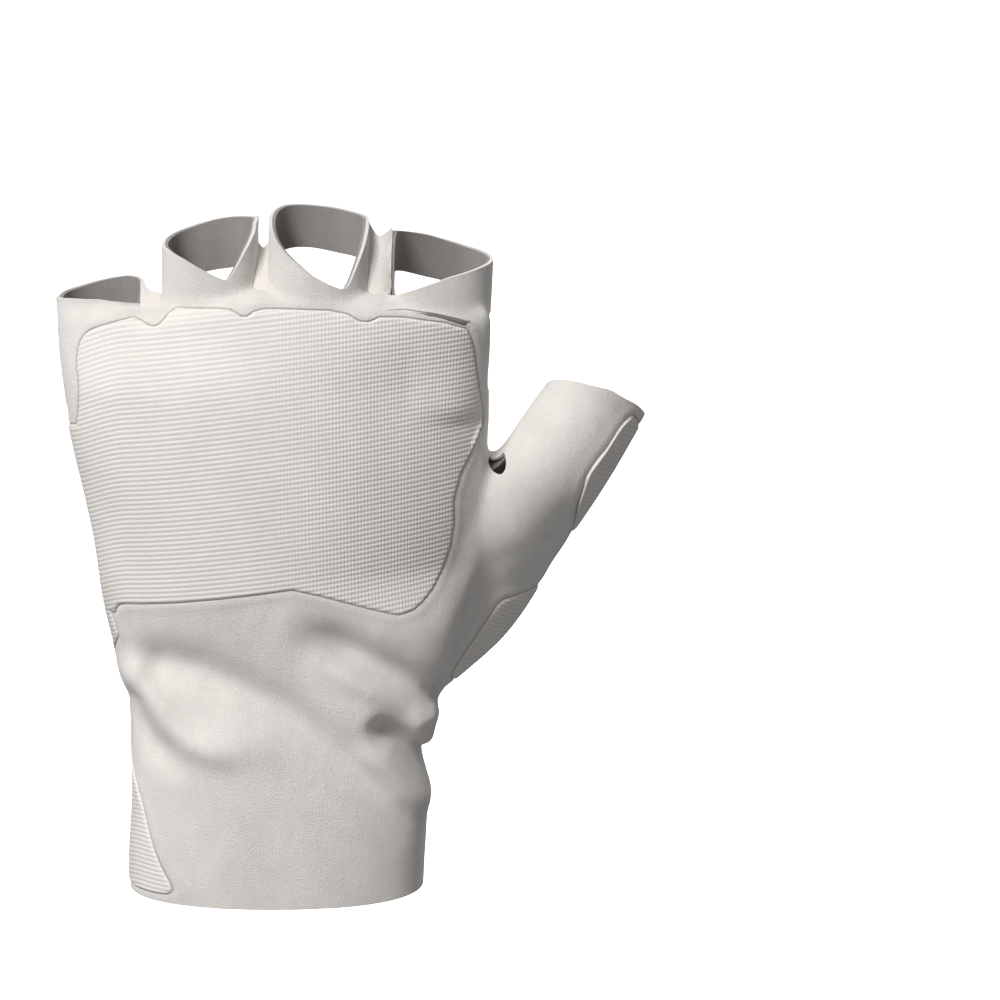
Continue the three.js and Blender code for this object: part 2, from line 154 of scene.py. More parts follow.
# soft fill where the thumb leaves the hand
thumbFill = {"centre": (54.2, 6.2, 96.5), "reach": (7.5, 5.4, 11.5), "blend": 2.5}
wristFolds = [
    # height, spread, fading at each end, line across and up
    {"height": 2.8, "spread": 4.2, "fade": (0, 0.35),
     "line": [(-34.2, 56.4), (-29.7, 50.8), (-25.4, 45.5), (-20.2, 41.7), (-12.4, 39.2), (-3.7, 37.9)]},
    {"height": -2.6, "spread": 4.0, "fade": (0, 0.5),
     "line": [(-34.8, 48.3), (-31.8, 43.2), (-28.7, 39.2), (-24.7, 34.6), (-20.9, 30.5)]},
    {"height": -3.6, "spread": 5.4, "fade": (0.1, 0.35),
     "line": [(-35.3, 60.5), (-25.8, 60), (-17.6, 58.9), (-9, 55.4), (1.6, 49.8), (8.1, 44.8),
              (15.3, 38.6), (23.5, 31), (31.9, 21.3), (39, 14.8)]},
    {"height": -6.4, "spread": 5.4, "fade": (0.4, 0),
     "line": [(3.4, 72.5), (8.9, 69.5), (14.6, 66.2), (20.9, 61.5), (27.4, 56.9), (34.5, 50.6),
              (43, 47.8)]},
    {"height": 3.5, "spread": 3.0, "fade": (0.4, 0),
     "line": [(6.9, 65.5), (12.2, 62.5), (17.7, 58.9), (23.7, 54.9), (30.2, 50.8), (36.9, 45.5),
              (43, 43.7)]},
    {"height": -6.4, "spread": 3.0, "fade": (0.3, 0),
     "line": [(22.2, 47.3), (25.6, 44.2), (30.4, 40.2), (35.1, 34.7), (40, 29.3)]},
    {"height": 1.8, "spread": 4.0, "fade": (0.4, 0),
     "line": [(17.5, 42.2), (21.6, 38.6), (26.5, 34.6), (31.2, 28.3), (38.5, 23.1)]},
    {"height": 1.4, "spread": 5.0, "fade": (0.4, 0.4),
     "line": [(-17.6, 50.8), (-9.9, 46.8), (-2.7, 40.7), (4, 34.6)]},
]


def smoothMin(a, b, width):
    share = np.clip(0.5 + 0.5 * (b - a) / width, 0.0, 1.0)
    return b * (1.0 - share) + a * share - width * share * (1.0 - share)


def smoothMax(a, b, width):
    return -smoothMin(-a, -b, width)


def smoothStep(value, low, high):
    t = np.clip((value - low) / (high - low), 0.0, 1.0)
    return t * t * (3.0 - 2.0 * t)


def smoothTable(rows, spacing=1.0, spread=4.0):
    # rows resampled evenly along their first column and rounded off
    along = np.arange(rows[0, 0], rows[-1, 0] + spacing, spacing)
    reach = int(3 * spread / spacing)
    kernel = np.exp(-0.5 * (np.arange(-reach, reach + 1) * spacing / spread) ** 2)
    kernel /= kernel.sum()
    columns = []
    for column in rows.T[1:]:
        even = np.interp(along, rows[:, 0], column)
        padded = np.pad(even, reach, mode="reflect", reflect_type="odd")
        columns.append(np.convolve(padded, kernel, mode="valid"))
    return along, columns


def ovalDistance(dx, dy, radiusX, radiusY, squareness):
    shareX = np.abs(dx) / radiusX
    shareY = np.abs(dy) / radiusY
    size = (shareX**squareness + shareY**squareness) ** (1.0 / squareness) + 1e-9
    slopeX = (shareX / size) ** (squareness - 1.0) / radiusX
    slopeY = (shareY / size) ** (squareness - 1.0) / radiusY
    return (size - 1.0) / np.maximum(np.hypot(slopeX, slopeY), 1.0 / np.maximum(radiusX, radiusY))


handUp, handColumns = smoothTable(handSections)


# the palm turns a little towards the thumb, and the back is rounder than the sections say
handShape = {
    "turn": 0.09,
    "pivot": 3.0,
    "turnStarts": (60.0, 84.0),
    "turnEnds": (126.0, 146.0),
    "slack": 0.35,
    "thumbSlack": 0.25,
    "slackStarts": (66.0, 84.0),
    "topBlend": 5.0,
}


def handDistance(x, y, z):
    shape = handShape
    low, high, back, palm, squareness = (np.interp(z, handUp, column) for column in handColumns)
    turned = smoothStep(z, *shape["turnStarts"]) * (1.0 - smoothStep(z, *shape["turnEnds"]))
    y = y - shape["turn"] * (x - shape["pivot"]) * turned
    slack = shape["slack"] + shape["thumbSlack"] * smoothStep(x, 5.0, 30.0)
    squareness = squareness - slack * smoothStep(-y, 0.0, 6.0) * smoothStep(z, *shape["slackStarts"])
    side = ovalDistance(
        x - (low + high) / 2, y - (back + palm) / 2, (high - low) / 2, (palm - back) / 2, squareness
    )
    top = np.interp(x, crotchHeights[:, 0], crotchHeights[:, 1])
    return smoothMax(side, z - top, shape["topBlend"])


rimRounding = 4.0  # degrees


def rimHeight(table, dx, dy):
    degrees = np.degrees(np.arctan2(dy, dx)) % 360.0
    angle = np.array([row[0] for row in table] + [table[0][0] + 360.0], float)
    height = np.array([row[1] for row in table] + [table[0][1]], float)
    fine = np.arange(0.0, 1080.0, 2.0)
    dense = np.interp(fine % 360.0, angle, height)
    kernel = np.exp(-0.5 * (np.arange(-15, 16) * 2.0 / rimRounding) ** 2)
    dense = np.convolve(dense, kernel / kernel.sum(), mode="same")
    return np.interp(degrees + 360.0, fine, dense)


def fingerWalls(finger, z):
    share = (z - fingerFoot) / (fingerTop - fingerFoot)
    return [foot + (top - foot) * share for foot, top in zip(finger["foot"], finger["top"])]


def fingerDistance(finger, x, y, z):
    low, high = fingerWalls(finger, z)
    across = x - (low + high) / 2
    through = y - finger["depth"] - finger["turn"] * across
    side = ovalDistance(across, through, (high - low) / 2, finger["thick"], fingerShape["squareness"])
    return smoothMax(side, fingerFoot - fingerShape["foot"] - z, fingerShape["foot"])


def smoothAxis(rows, spacing=1.5, spread=6.0):
    # closer rows along the axis with the corners eased, the ends kept
    along = np.concatenate(([0.0], np.cumsum(np.linalg.norm(np.diff(rows[:, :3], axis=0), axis=1))))
    reach = int(3 * spread / spacing)
    kernel = np.exp(-0.5 * (np.arange(-reach, reach + 1) * spacing / spread) ** 2)
    steps = np.arange(0.0, along[-1] + spacing / 2, spacing)
    dense = np.stack([np.interp(steps, along, column) for column in rows.T], 1)
    padded = np.pad(dense, ((reach, reach), (0, 0)), mode="reflect", reflect_type="odd")
    smooth = [np.convolve(column, kernel / kernel.sum(), mode="valid") for column in padded.T]
    return np.stack(smooth, 1)


thumbAxis = smoothAxis(thumbAxis)
thumbHeading = thumbAxis[-1, [0, 2]] - thumbAxis[0, [0, 2]]
thumbHeading /= np.linalg.norm(thumbHeading)


def thumbFrame(x, y, z):
    # length along the sleeve, and the offsets across and through it
    reach = (thumbAxis[:, [0, 2]] - thumbAxis[0, [0, 2]]) @ thumbHeading
    place = (x - thumbAxis[0, 0]) * thumbHeading[0] + (z - thumbAxis[0, 2]) * thumbHeading[1]
    end = place - reach[-1]
    centreX = np.interp(place, reach, thumbAxis[:, 0]) + np.maximum(end, 0) * thumbHeading[0]
    centreZ = np.interp(place, reach, thumbAxis[:, 2]) + np.maximum(end, 0) * thumbHeading[1]
    across = (x - centreX) * thumbHeading[1] - (z - centreZ) * thumbHeading[0]
    share = place / reach[-1]
    turn = thumbShape["turn"] * (1.0 - 0.5 * smoothStep(share, *thumbShape["turnFades"]))
    side = smoothStep(share, *thumbShape["oneSided"]) / 2
    lean = turn * (across * (1.0 - side) + np.hypot(across, 5.0) * side)
    through = y - np.interp(place, reach, thumbAxis[:, 1]) - lean
    return place, end, across, through, reach


def thumbDistance(x, y, z):
    place, end, across, through, reach = thumbFrame(x, y, z)
    wide = np.interp(place, reach, thumbAxis[:, 3])
    thick = np.interp(place, reach, thumbAxis[:, 4])
    side = ovalDistance(across, through, wide, thick, thumbShape["squareness"])
    return smoothMax(side, -place, thumbShape["foot"])


def lineDistance(x, z, line):
    # distance to a line of points, and how far along it the nearest point is
    nearest = np.full(np.shape(x), 1e9)
    share = np.zeros(np.shape(x))
    points = np.array(line, float)
    lengths = np.linalg.norm(np.diff(points, axis=0), axis=1)
    total = lengths.sum()
    start = 0.0
    for (ax, az), (bx, bz), length in zip(points[:-1], points[1:], lengths):
        t = np.clip(((x - ax) * (bx - ax) + (z - az) * (bz - az)) / length**2, 0.0, 1.0)
        distance = np.hypot(x - ax - t * (bx - ax), z - az - t * (bz - az))
        closer = distance < nearest
        nearest = np.where(closer, distance, nearest)
        share = np.where(closer, (start + t * length) / total, share)
        start += length
    return nearest, share


def foldHeight(x, y, z):
    near = (z > 12.0) & (z < 90.0) & (y < 14.0) & (x < 52.0)
    height = np.zeros(np.shape(x))
    px, py, pz = x[near], y[near], z[near]
    total = np.zeros(px.shape)
    for fold in wristFolds:
        distance, share = lineDistance(px, pz, fold["line"])
        first, last = fold["fade"]
        fading = 1.0
        if first:
            fading = smoothStep(share, 0.0, first)
        if last:
            fading = fading * (1.0 - smoothStep(share, 1.0 - last, 1.0))
        total += fold["height"] * np.exp(-((distance / fold["spread"]) ** 2)) * fading
    side = 1.0 - 0.5 * smoothStep(py, -10.0, 0.0)
    height[near] = total * side * (1.0 - smoothStep(py, 1.0, 12.0))
    return height


def bodyDistance(x, y, z):
    body = handDistance(x, y, z)
    for finger in fingers.values():
        body = smoothMin(body, fingerDistance(finger, x, y, z), fingerShape["blend"])
    return body


def formDistance(x, y, z):
    soft, tight = thumbShape["blend"]
    blend = soft + (tight - soft) * smoothStep(z, *thumbShape["blendFades"])
    form = smoothMin(bodyDistance(x, y, z), thumbDistance(x, y, z), blend)
    centre, reach = thumbFill["centre"], thumbFill["reach"]
    parts = [((part - middle) / size) ** 2 for part, middle, size in zip((x, y, z), centre, reach)]
    form = smoothMin(form, (np.sqrt(sum(parts)) - 1.0) * min(reach), thumbFill["blend"])
    return form - foldHeight(x, y, z)


def formNormal(points, step=0.35):
    slopes = []
    for axis in range(3):
        ahead = points.copy()
        behind = points.copy()
        ahead[:, axis] += step
        behind[:, axis] -= step
        slopes.append(formDistance(*ahead.T) - formDistance(*behind.T))
    normal = np.stack(slopes, 1)
    return normal / np.maximum(np.linalg.norm(normal, axis=1), 1e-9)[:, None]


def settle(points, level, rounds=3):
    # moves points along the form's slope until they lie at a level of the field
    for _ in range(rounds):
        points = points + formNormal(points) * (level - formDistance(*points.T))[:, None] * 0.9
    return points


# outlines seen from the front, in millimetres across and up
outlines = {
    "palmOpening": [(70, 141.5), (52, 143.8), (47.6, 147.4), (42, 150.2), (35.5, 151.9), (28.6, 154.7),
                    (22.4, 156.8), (15.9, 157.6), (9.3, 159.1), (3.3, 159.3), (-1.4, 157.6),
                    (-5.5, 154.8), (-9, 154), (-15, 153.1), (-21, 151.6), (-24.8, 148.2), (-26.5, 142.5),
                    (-33.5, 136.6), (-40.5, 130.8), (-46, 125.8), (-48.3, 121), (-47.4, 115.8),
                    (-45, 106.6), (-42.5, 97.8), (-39.6, 89.5), (-36.5, 82.8), (-32.2, 74.3),
                    (-27.6, 68.1), (-19.8, 61.4), (-12, 56.5), (1, 49.3), (11.2, 43.1), (18.9, 38.4),
                    (22.5, 35.3), (25, 32.8), (29.2, 31.4), (33, 32), (38, 34.6), (41, 36.5), (80, 60),
                    (80, 100)],
    "thumbOpening": [(44, 118), (49, 110.5), (49.6, 103), (53, 98.5), (60, 93), (68.5, 80.5), (95, 52),
                     (60, 20), (-10, 20), (-10, 116)],
    "hemCut": [(80, 26), (37.5, 20), (29.7, 16.5), (18.9, 11.6), (8.7, 7), (-1.8, 2.6), (-12, 0.3),
               (-12, -9), (80, -9)],
    "gripBack": [(-70, 117.5), (-46.3, 117.5), (-45.1, 125.9), (-45.2, 130.8), (-45.8, 134.5),
                 (-45.2, 138.9), (-44.2, 140.7), (-42.2, 142.6), (-32.9, 145.3), (-31, 145.1),
                 (-27.5, 143.4), (-25.8, 143.8), (-22.7, 147.3), (-19.8, 147.6), (-10.1, 147.7),
                 (-8.2, 147.4), (-5.4, 145.6), (-2.5, 147.8), (4.3, 147.8), (17.8, 147.3), (23, 144.1),
                 (27.7, 146.3), (46.7, 143.1), (48.6, 138.8), (49.5, 129.1), (50.7, 121), (50.7, 116.4),
                 (43.7, 102.6), (43.8, 90.7), (40, 79.5), (35.5, 74.2), (32, 73), (30.1, 72.7),
                 (6.3, 80.7), (2.2, 80.2), (-17.2, 77.7), (-35.3, 75.5), (-37, 75), (-38, 73.6),
                 (-38.4, 72), (-70, 72)],
    "gripPalm": [(-70, 112), (-47.3, 106), (-44.8, 97.1), (-41.8, 88.6), (-38.7, 81.8), (-34.2, 73.1),
                 (-29.3, 66.5), (-21.2, 59.5), (-13.2, 54.4), (-0.2, 47.2), (10, 41), (17.7, 36.4),
                 (15, 37.2), (2, 36.6), (-27.5, 37.4), (-30, 39), (-36, 43.5), (-70, 43.5)],
    "binding": [(-36.8, 82.6), (-32.4, 74.1), (-27.8, 67.8), (-20, 61.2), (-12.2, 56.3), (0.8, 49),
                (11, 42.8), (18.7, 38.1), (22.3, 35.5), (20.9, 34.2), (17.8, 36.6), (10.1, 41.3),
                (0, 47.4), (-13.1, 54.7), (-21, 59.7), (-29.1, 66.6), (-34, 73.3), (-38.4, 81.9)],
    "thumbBack": [(89.2, 116.6), (88.6, 118.6), (87.3, 119.6), (86.3, 118.8), (84.2, 116.3),
                  (82.4, 113.2), (80.8, 110.7), (78.8, 108.4), (76.6, 104.9), (76, 103.9), (75.4, 101),
                  (74.3, 97.6), (73.6, 92.1), (72.8, 89), (71.5, 84.5), (68.5, 79), (64.2, 75.7),
                  (60.4, 74), (56.3, 72.8), (54.8, 71.7), (52.5, 68.2), (50, 64.3), (46.9, 59.6),
                  (44.2, 55.4), (42.6, 51.5), (70, 40), (120, 100), (95, 112)],
    "thumbPalm": [(59.5, 96.8), (61.4, 98.6), (78.3, 111), (88, 117.6), (120, 117.6), (95, 52),
                  (69.5, 81.5), (60.6, 94.8)],
    "pile": [(24, 32), (17.8, 35.6), (0, 35), (-15, 34.4), (-26.2, 35.4), (-28, 33.5), (-29.6, 20.6),
             (-30.6, 14.2), (-32.6, 3.6), (-17.6, 2.2), (-1.8, 4.8), (8.7, 9.2), (18.9, 13.8), (26, 17.5),
             (26, 29)],
    "tab": [(37, 34.2), (26.8, 31.7), (2.9, 29.7), (-4.5, 19), (-1.3, 12.9), (18.9, 12.4), (33, 14.7),
            (37, 18.2)],
    "webNotch": [(52.9, 119), (52.6, 109.5), (52.2, 107.2), (53.5, 105.2), (55.2, 104.2), (56.5, 105.4),
                 (56.8, 107.8), (56.1, 110.5), (54.8, 113.5), (54.4, 119)],
}
webStrips = {
    "index": [(28.6, 149.5), (21, 149.5), (17.6, 136), (14.2, 123.5), (16, 121), (20, 120.6), (21.6, 123),
              (24.6, 136)],
    "middle": [(2.2, 149.5), (-6, 149.5), (-6.6, 141), (-8, 131), (-8.2, 124), (-5.6, 120.4),
               (-2.2, 120.6), (-0.6, 125), (0, 137)],
    "ring": [(-24.4, 145.5), (-32.2, 144.8), (-30.5, 131), (-29, 122), (-26, 117.4), (-22.6, 117),
             (-20.8, 121), (-22.6, 131)],
}
# the grip's tail down the outer side, in millimetres through and up
gripTail = [(2, 74), (2, 45), (0, 34), (-9, 26), (-12.4, 18), (-15.2, 10), (-17.6, 3.4), (-15.6, 1.8),
            (9, 1.8), (9, 44), (12, 74)]


def roundCorners(outline, rounds=2, cut=0.25):
    points = np.array(outline, float)
    for _ in range(rounds):
        ahead = np.roll(points, -1, axis=0)
        step = (ahead - points) * cut
        points = np.stack([points + step, ahead - step], 1).reshape(-1, 2)
    return points


def outlineDistance(x, z, outline, rounds=2):
    # positive outside the outline
    points = roundCorners(outline, rounds)
    shape = np.shape(x)
    flatX, flatZ = np.ravel(x), np.ravel(z)
    nearest = np.full(flatX.shape, 1e9)
    inside = np.zeros(flatX.shape, bool)
    for (ax, az), (bx, bz) in zip(points, np.roll(points, -1, axis=0)):
        length = (bx - ax) ** 2 + (bz - az) ** 2 + 1e-12
        t = np.clip(((flatX - ax) * (bx - ax) + (flatZ - az) * (bz - az)) / length, 0.0, 1.0)
        nearest = np.minimum(nearest, np.hypot(flatX - ax - t * (bx - ax), flatZ - az - t * (bz - az)))
        crosses = (az > flatZ) != (bz > flatZ)
        slant = ax + (flatZ - az) * (bx - ax) / (bz - az if abs(bz - az) > 1e-12 else 1e-12)
        inside ^= crosses & (flatX < slant)
    return np.where(inside, -nearest, nearest).reshape(shape)


sideSeam = 1.0
# how deep the leather's edge lies along the thumb side, by place across
thumbSeamLine = [(26.5, 1), (34, 12), (42, 20.5), (49, 24), (58, 25.5), (66, 23.5), (73, 18.5), (80, 15),
                 (92, 14.5)]


# how far the leather passes the middle plane of the thumb
thumbEdge = 1.2
leatherEdges = {
    # heights where the seam leaves the thumb's line, where the thumb takes over, depth of the web notch,
    # overlap of neighbouring loops
    "seamFades": (66.0, 84.0),
    "thumbTakes": (95.0, 102.0),
    "thumbGain": 5.0,
    "notchDepth": 3.5,
    "overlap": 1.5,
    "loopsFrom": 140.0,
}


def thumbSeam(x):
    return np.interp(x, *np.array(thumbSeamLine).T)


def keepField(points):
    # positive where the leather is, about in millimetres from its nearest free edge
    x, y, z = points.T
    body = bodyDistance(x, y, z)
    thumb = thumbDistance(x, y, z)
    edge = sideSeam + (thumbSeam(x) - sideSeam) * (1.0 - smoothStep(z, *leatherEdges["seamFades"]))
    palmCut = np.maximum(outlineDistance(x, z, outlines["palmOpening"]), edge - y)
    place, end, across, through, reach = thumbFrame(x, y, z)
    thumbCut = np.maximum(outlineDistance(x, z, outlines["thumbOpening"]), thumbEdge - through)
    gain = leatherEdges["thumbGain"] * smoothStep(z, *leatherEdges["thumbTakes"])
    nearThumb = smoothStep((body - thumb) / 2 + gain, -1.5, 1.5)
    keep = palmCut * (1.0 - nearThumb) + thumbCut * nearThumb
    seen = z + y * math.tan(math.radians(cameraSettings["elevation"]))
    notch = np.maximum(outlineDistance(x, seen, outlines["webNotch"]), y - leatherEdges["notchDepth"])
    keep = np.minimum(keep, notch)
    keep = np.minimum(keep, np.maximum(outlineDistance(x, z, outlines["hemCut"]), sideSeam - y))
    keep = np.minimum(keep, z)
    distances = {name: fingerDistance(finger, x, y, z) for name, finger in fingers.items()}
    top = leatherEdges["loopsFrom"] - z
    overlap = leatherEdges["overlap"]
    for name, finger in fingers.items():
        others = np.min([distances[other] for other in fingers if other != name], axis=0)
        low, high = fingerWalls(finger, z)
        side = x - (low + high) / 2
        front = y - finger["depth"] - finger["turn"] * side
        rim = rimHeight(finger["rim"], side / (high - low) * 22.0, front) - z
        top = np.maximum(top, np.minimum(rim, (others - distances[name]) / 2 + overlap))
    keep = np.minimum(keep, np.maximum(top, np.where(x > 60.0, 5.0, -50.0)))
    tip = rimHeight(thumbRim, across, through) - end
    keep = np.minimum(keep, np.maximum(tip, (thumb - body) / 2 + overlap))
    return keep


# meshing
def surfaceNets(values, origin, step):
    # one vertex in each grid cell that the surface passes through, one quad for each grid edge
    cells = tuple(n - 1 for n in values.shape)
    total = np.zeros(cells + (3,))
    count = np.zeros(cells)
    index = np.stack(np.meshgrid(*[np.arange(n) for n in values.shape], indexing="ij"), -1).astype(float)
    edges = []
    for axis in range(3):
        near = [slice(None)] * 3
        far = [slice(None)] * 3
        near[axis] = slice(None, -1)
        far[axis] = slice(1, None)
        a, b = values[tuple(near)], values[tuple(far)]
        crosses = (a < 0) != (b < 0)
        place = index[tuple(near)].copy()
        place[..., axis] += np.where(crosses, a / np.where(a == b, 1.0, a - b), 0.0)
        edges.append((crosses, a < 0))
        others = [other for other in range(3) if other != axis]
        for shift in ((0, 0), (0, 1), (1, 0), (1, 1)):
            window = [slice(None)] * 3
            for other, move in zip(others, shift):
                window[other] = slice(move, cells[other] + move)
            window = tuple(window)
            total += place[window] * crosses[window][..., None]
            count += crosses[window]
    used = count > 0
    names = np.full(cells, -1)
    names[used] = np.arange(used.sum())
    vertices = total[used] / count[used][:, None] * step + np.array(origin)
    faces = []
    for axis, (crosses, outward) in enumerate(edges):
        first, second = [other for other in range(3) if other != axis]
        if axis == 1:
            first, second = second, first
        places = np.argwhere(crosses)
        good = np.ones(len(places), bool)
        for other in (first, second):
            good &= (places[:, other] > 0) & (places[:, other] < values.shape[other] - 1)
        places = places[good]
        corner = []
        for moveFirst, moveSecond in ((-1, -1), (0, -1), (0, 0), (-1, 0)):
            cell = places.copy()
            cell[:, first] += moveFirst
            cell[:, second] += moveSecond
            corner.append(names[tuple(cell.T)])
        quad = np.stack(corner, 1)
        flip = ~outward[tuple(places.T)]
        quad[flip] = quad[flip][:, ::-1]
        faces.append(quad)
    return vertices, np.concatenate(faces)


def clipFaces(vertices, faces, keep):
    # the part of a mesh where keep is positive, cut exactly along its zero line
    vertices = [tuple(v) for v in vertices]
    corners = keep[faces]
    whole = (corners > 0).all(1)
    mixed = (corners > 0).any(1) & ~whole
    kept = [list(map(int, face)) for face in faces[whole]]
    crossing = {}
    for face in faces[mixed]:
        shape = []
        for a, b in zip(face, np.roll(face, -1)):
            a, b = int(a), int(b)
            if keep[a] > 0:
                shape.append(a)
            if (keep[a] > 0) != (keep[b] > 0):
                key = (min(a, b), max(a, b))
                if key not in crossing:
                    t = keep[a] / (keep[a] - keep[b])
                    crossing[key] = len(vertices)
                    vertices.append(tuple(np.array(vertices[a]) * (1 - t) + np.array(vertices[b]) * t))
                shape.append(crossing[key])
        if len(shape) > 2:
            kept.append(shape)
    return np.array(vertices), kept


def dropLoose(vertices, faces):
    used = sorted({corner for face in faces for corner in face})
    renamed = {old: new for new, old in enumerate(used)}
    return vertices[used], [[renamed[corner] for corner in face] for face in faces]


def mainParts(vertices, faces, share=0.04):
    # drops the crumbs: connected pieces far smaller than the biggest
    parent = list(range(len(vertices)))

    def root(item):
        while parent[item] != item:
            parent[item] = parent[parent[item]]
            item = parent[item]
        return item

    for face in faces:
        for corner in face[1:]:
            parent[root(corner)] = root(face[0])
    roots = np.array([root(face[0]) for face in faces])
    names, counts = np.unique(roots, return_counts=True)
    kept = set(names[counts > counts.max() * share].tolist())
    return dropLoose(vertices, [face for face, name in zip(faces, roots) if int(name) in kept])


def makeMesh(name, vertices, faces, smooth=True):
    mesh = bpy.data.meshes.new(name)
    mesh.from_pydata([tuple(v) for v in np.asarray(vertices) * mm], [], faces)
    mesh.update()
    if smooth:
        mesh.polygons.foreach_set("use_smooth", [True] * len(mesh.polygons))
    piece = bpy.data.objects.new(name, mesh)
    scene.collection.objects.link(piece)
    return piece


gridSettings = {"low": (-61.0, -27.0, -5.0), "high": (98.0, 28.0, 178.0), "step": 1.15}


def sampleForm(settings):
    axes = [np.arange(low, high, settings["step"]) for low, high in zip(settings["low"], settings["high"])]
    x, y, z = np.meshgrid(*axes, indexing="ij")
    return formDistance(x, y, z)


formValues = sampleForm(gridSettings)
print("form sampled", formValues.shape)


def bisect(rule, near, far, rounds):
    # the last place from near to far where the rule holds
    for _ in range(rounds):
        middle = (near + far) / 2
        met = rule(middle)
        near = np.where(met, middle, near)
        far = np.where(met, far, middle)
    return near


# patches laid on the form: a grid of points is lifted, clipped to an outline and given walls
def castForm(x, z, start, end, level, hollow=False):
    # height through the glove where a line from start to end first meets the form
    x, z = np.broadcast_arrays(np.asarray(x, float), np.asarray(z, float))
    count = int(abs(end - start)) + 1
    found = np.zeros(x.shape, bool)
    place = np.full(x.shape, float(end))
    stride = (end - start) / count

    def reached(y):
        inside = formDistance(x, y, z) < level
        return ~inside if hollow else inside

    for number in range(count + 1):
        fresh = reached(np.full(x.shape, start + number * stride)) & ~found
        place[fresh] = start + number * stride
        found |= fresh
    return np.stack([x, bisect(reached, place, place - stride, 12), z], -1)


def boundaryEdges(faces):
    count = {}
    for face in faces:
        for a, b in zip(face, face[1:] + face[:1]):
            count[(a, b)] = True
    return [(a, b) for a, b in count if (b, a) not in count]


def markSharp(piece, corners):
    # crisp edges where both ends are among the corners and the faces turn
    mesh = piece.data
    ends = np.empty(len(mesh.edges) * 2, int)
    mesh.edges.foreach_get("vertices", ends)
    ends = ends.reshape(-1, 2)
    listed = {(min(a, b), max(a, b)) for a, b in corners}
    sharp = [(min(a, b), max(a, b)) in listed for a, b in ends.tolist()]
    mesh.edges.foreach_set("use_edge_sharp", sharp)


def thickSheet(name, vertices, faces, normal, thickness):
    # a sheet with its own inner face and a flat cut edge
    count = len(vertices)
    inner = vertices - normal * thickness
    edges = boundaryEdges(faces)
    flipped = [[corner + count for corner in reversed(face)] for face in faces]
    walls = [[b, a, a + count, b + count] for a, b in edges]
    piece = makeMesh(name, np.concatenate([vertices, inner]), faces + flipped + walls)
    markSharp(piece, edges + [(a + count, b + count) for a, b in edges])
    return piece


def addSkirt(vertices, faces, inward, depth):
    # walls from the open edge of a sheet down into what carries it
    edges = boundaryEdges(faces)
    rim = sorted({corner for edge in edges for corner in edge})
    below = {corner: len(vertices) + number for number, corner in enumerate(rim)}
    lower = vertices[rim] + inward[rim] * depth
    walls = [[a, below[a], below[b], b] for a, b in edges]
    return np.concatenate([vertices, lower]), faces + walls


def gridFaces(rows, columns):
    index = np.arange(rows * columns).reshape(rows, columns)
    return np.stack([index[:-1, :-1], index[:-1, 1:], index[1:, 1:], index[1:, :-1]], -1).reshape(-1, 4)


def raisedPatch(name, points, coordinates, keepRule, liftRule, facing=1.0, foot=0.5, foldFaces=False):
    rows, columns = points.shape[:2]
    flat = points.reshape(-1, 3)
    mapped = coordinates.reshape(-1, 2)
    keep = keepRule(flat)
    faces = gridFaces(rows, columns)
    if foldFaces:
        faces = faces[:, ::-1]
    faces = faces[(keep[faces] > 0).any(1)]
    used = np.unique(faces)
    renamed = np.full(len(flat), -1)
    renamed[used] = np.arange(len(used))
    faces, flat, keep, mapped = renamed[faces], flat[used], keep[used], mapped[used]
    normal = formNormal(flat) * facing
    flat = flat + normal * liftRule(flat, keep, mapped)[:, None]
    loaded = np.concatenate([flat, normal, mapped, keep[:, None]], 1)
    loaded, faces = clipFaces(loaded, faces, keep)
    loaded, faces = mainParts(loaded, faces)
    vertices, faces = addSkirt(loaded[:, :3], faces, -loaded[:, 3:6], foot)
    extra = len(vertices) - len(loaded)
    piece = makeMesh(name, vertices, faces)
    mapped = np.concatenate([loaded[:, 6:8], np.zeros((extra, 2))])
    keep = np.concatenate([loaded[:, 8], np.full(extra, -1.0)])
    addMap(piece, mapped)
    addNumber(piece, "inset", keep)
    return piece


def addMap(piece, mapped):
    layer = piece.data.uv_layers.new(name="weave")
    corners = np.empty(len(piece.data.loops), int)
    piece.data.loops.foreach_get("vertex_index", corners)
    layer.data.foreach_set("uv", (mapped[corners] * 0.01).ravel())


def addNumber(piece, name, values):
    attribute = piece.data.attributes.new(name, "FLOAT", "POINT")
    attribute.data.foreach_set("value", np.asarray(values, float))


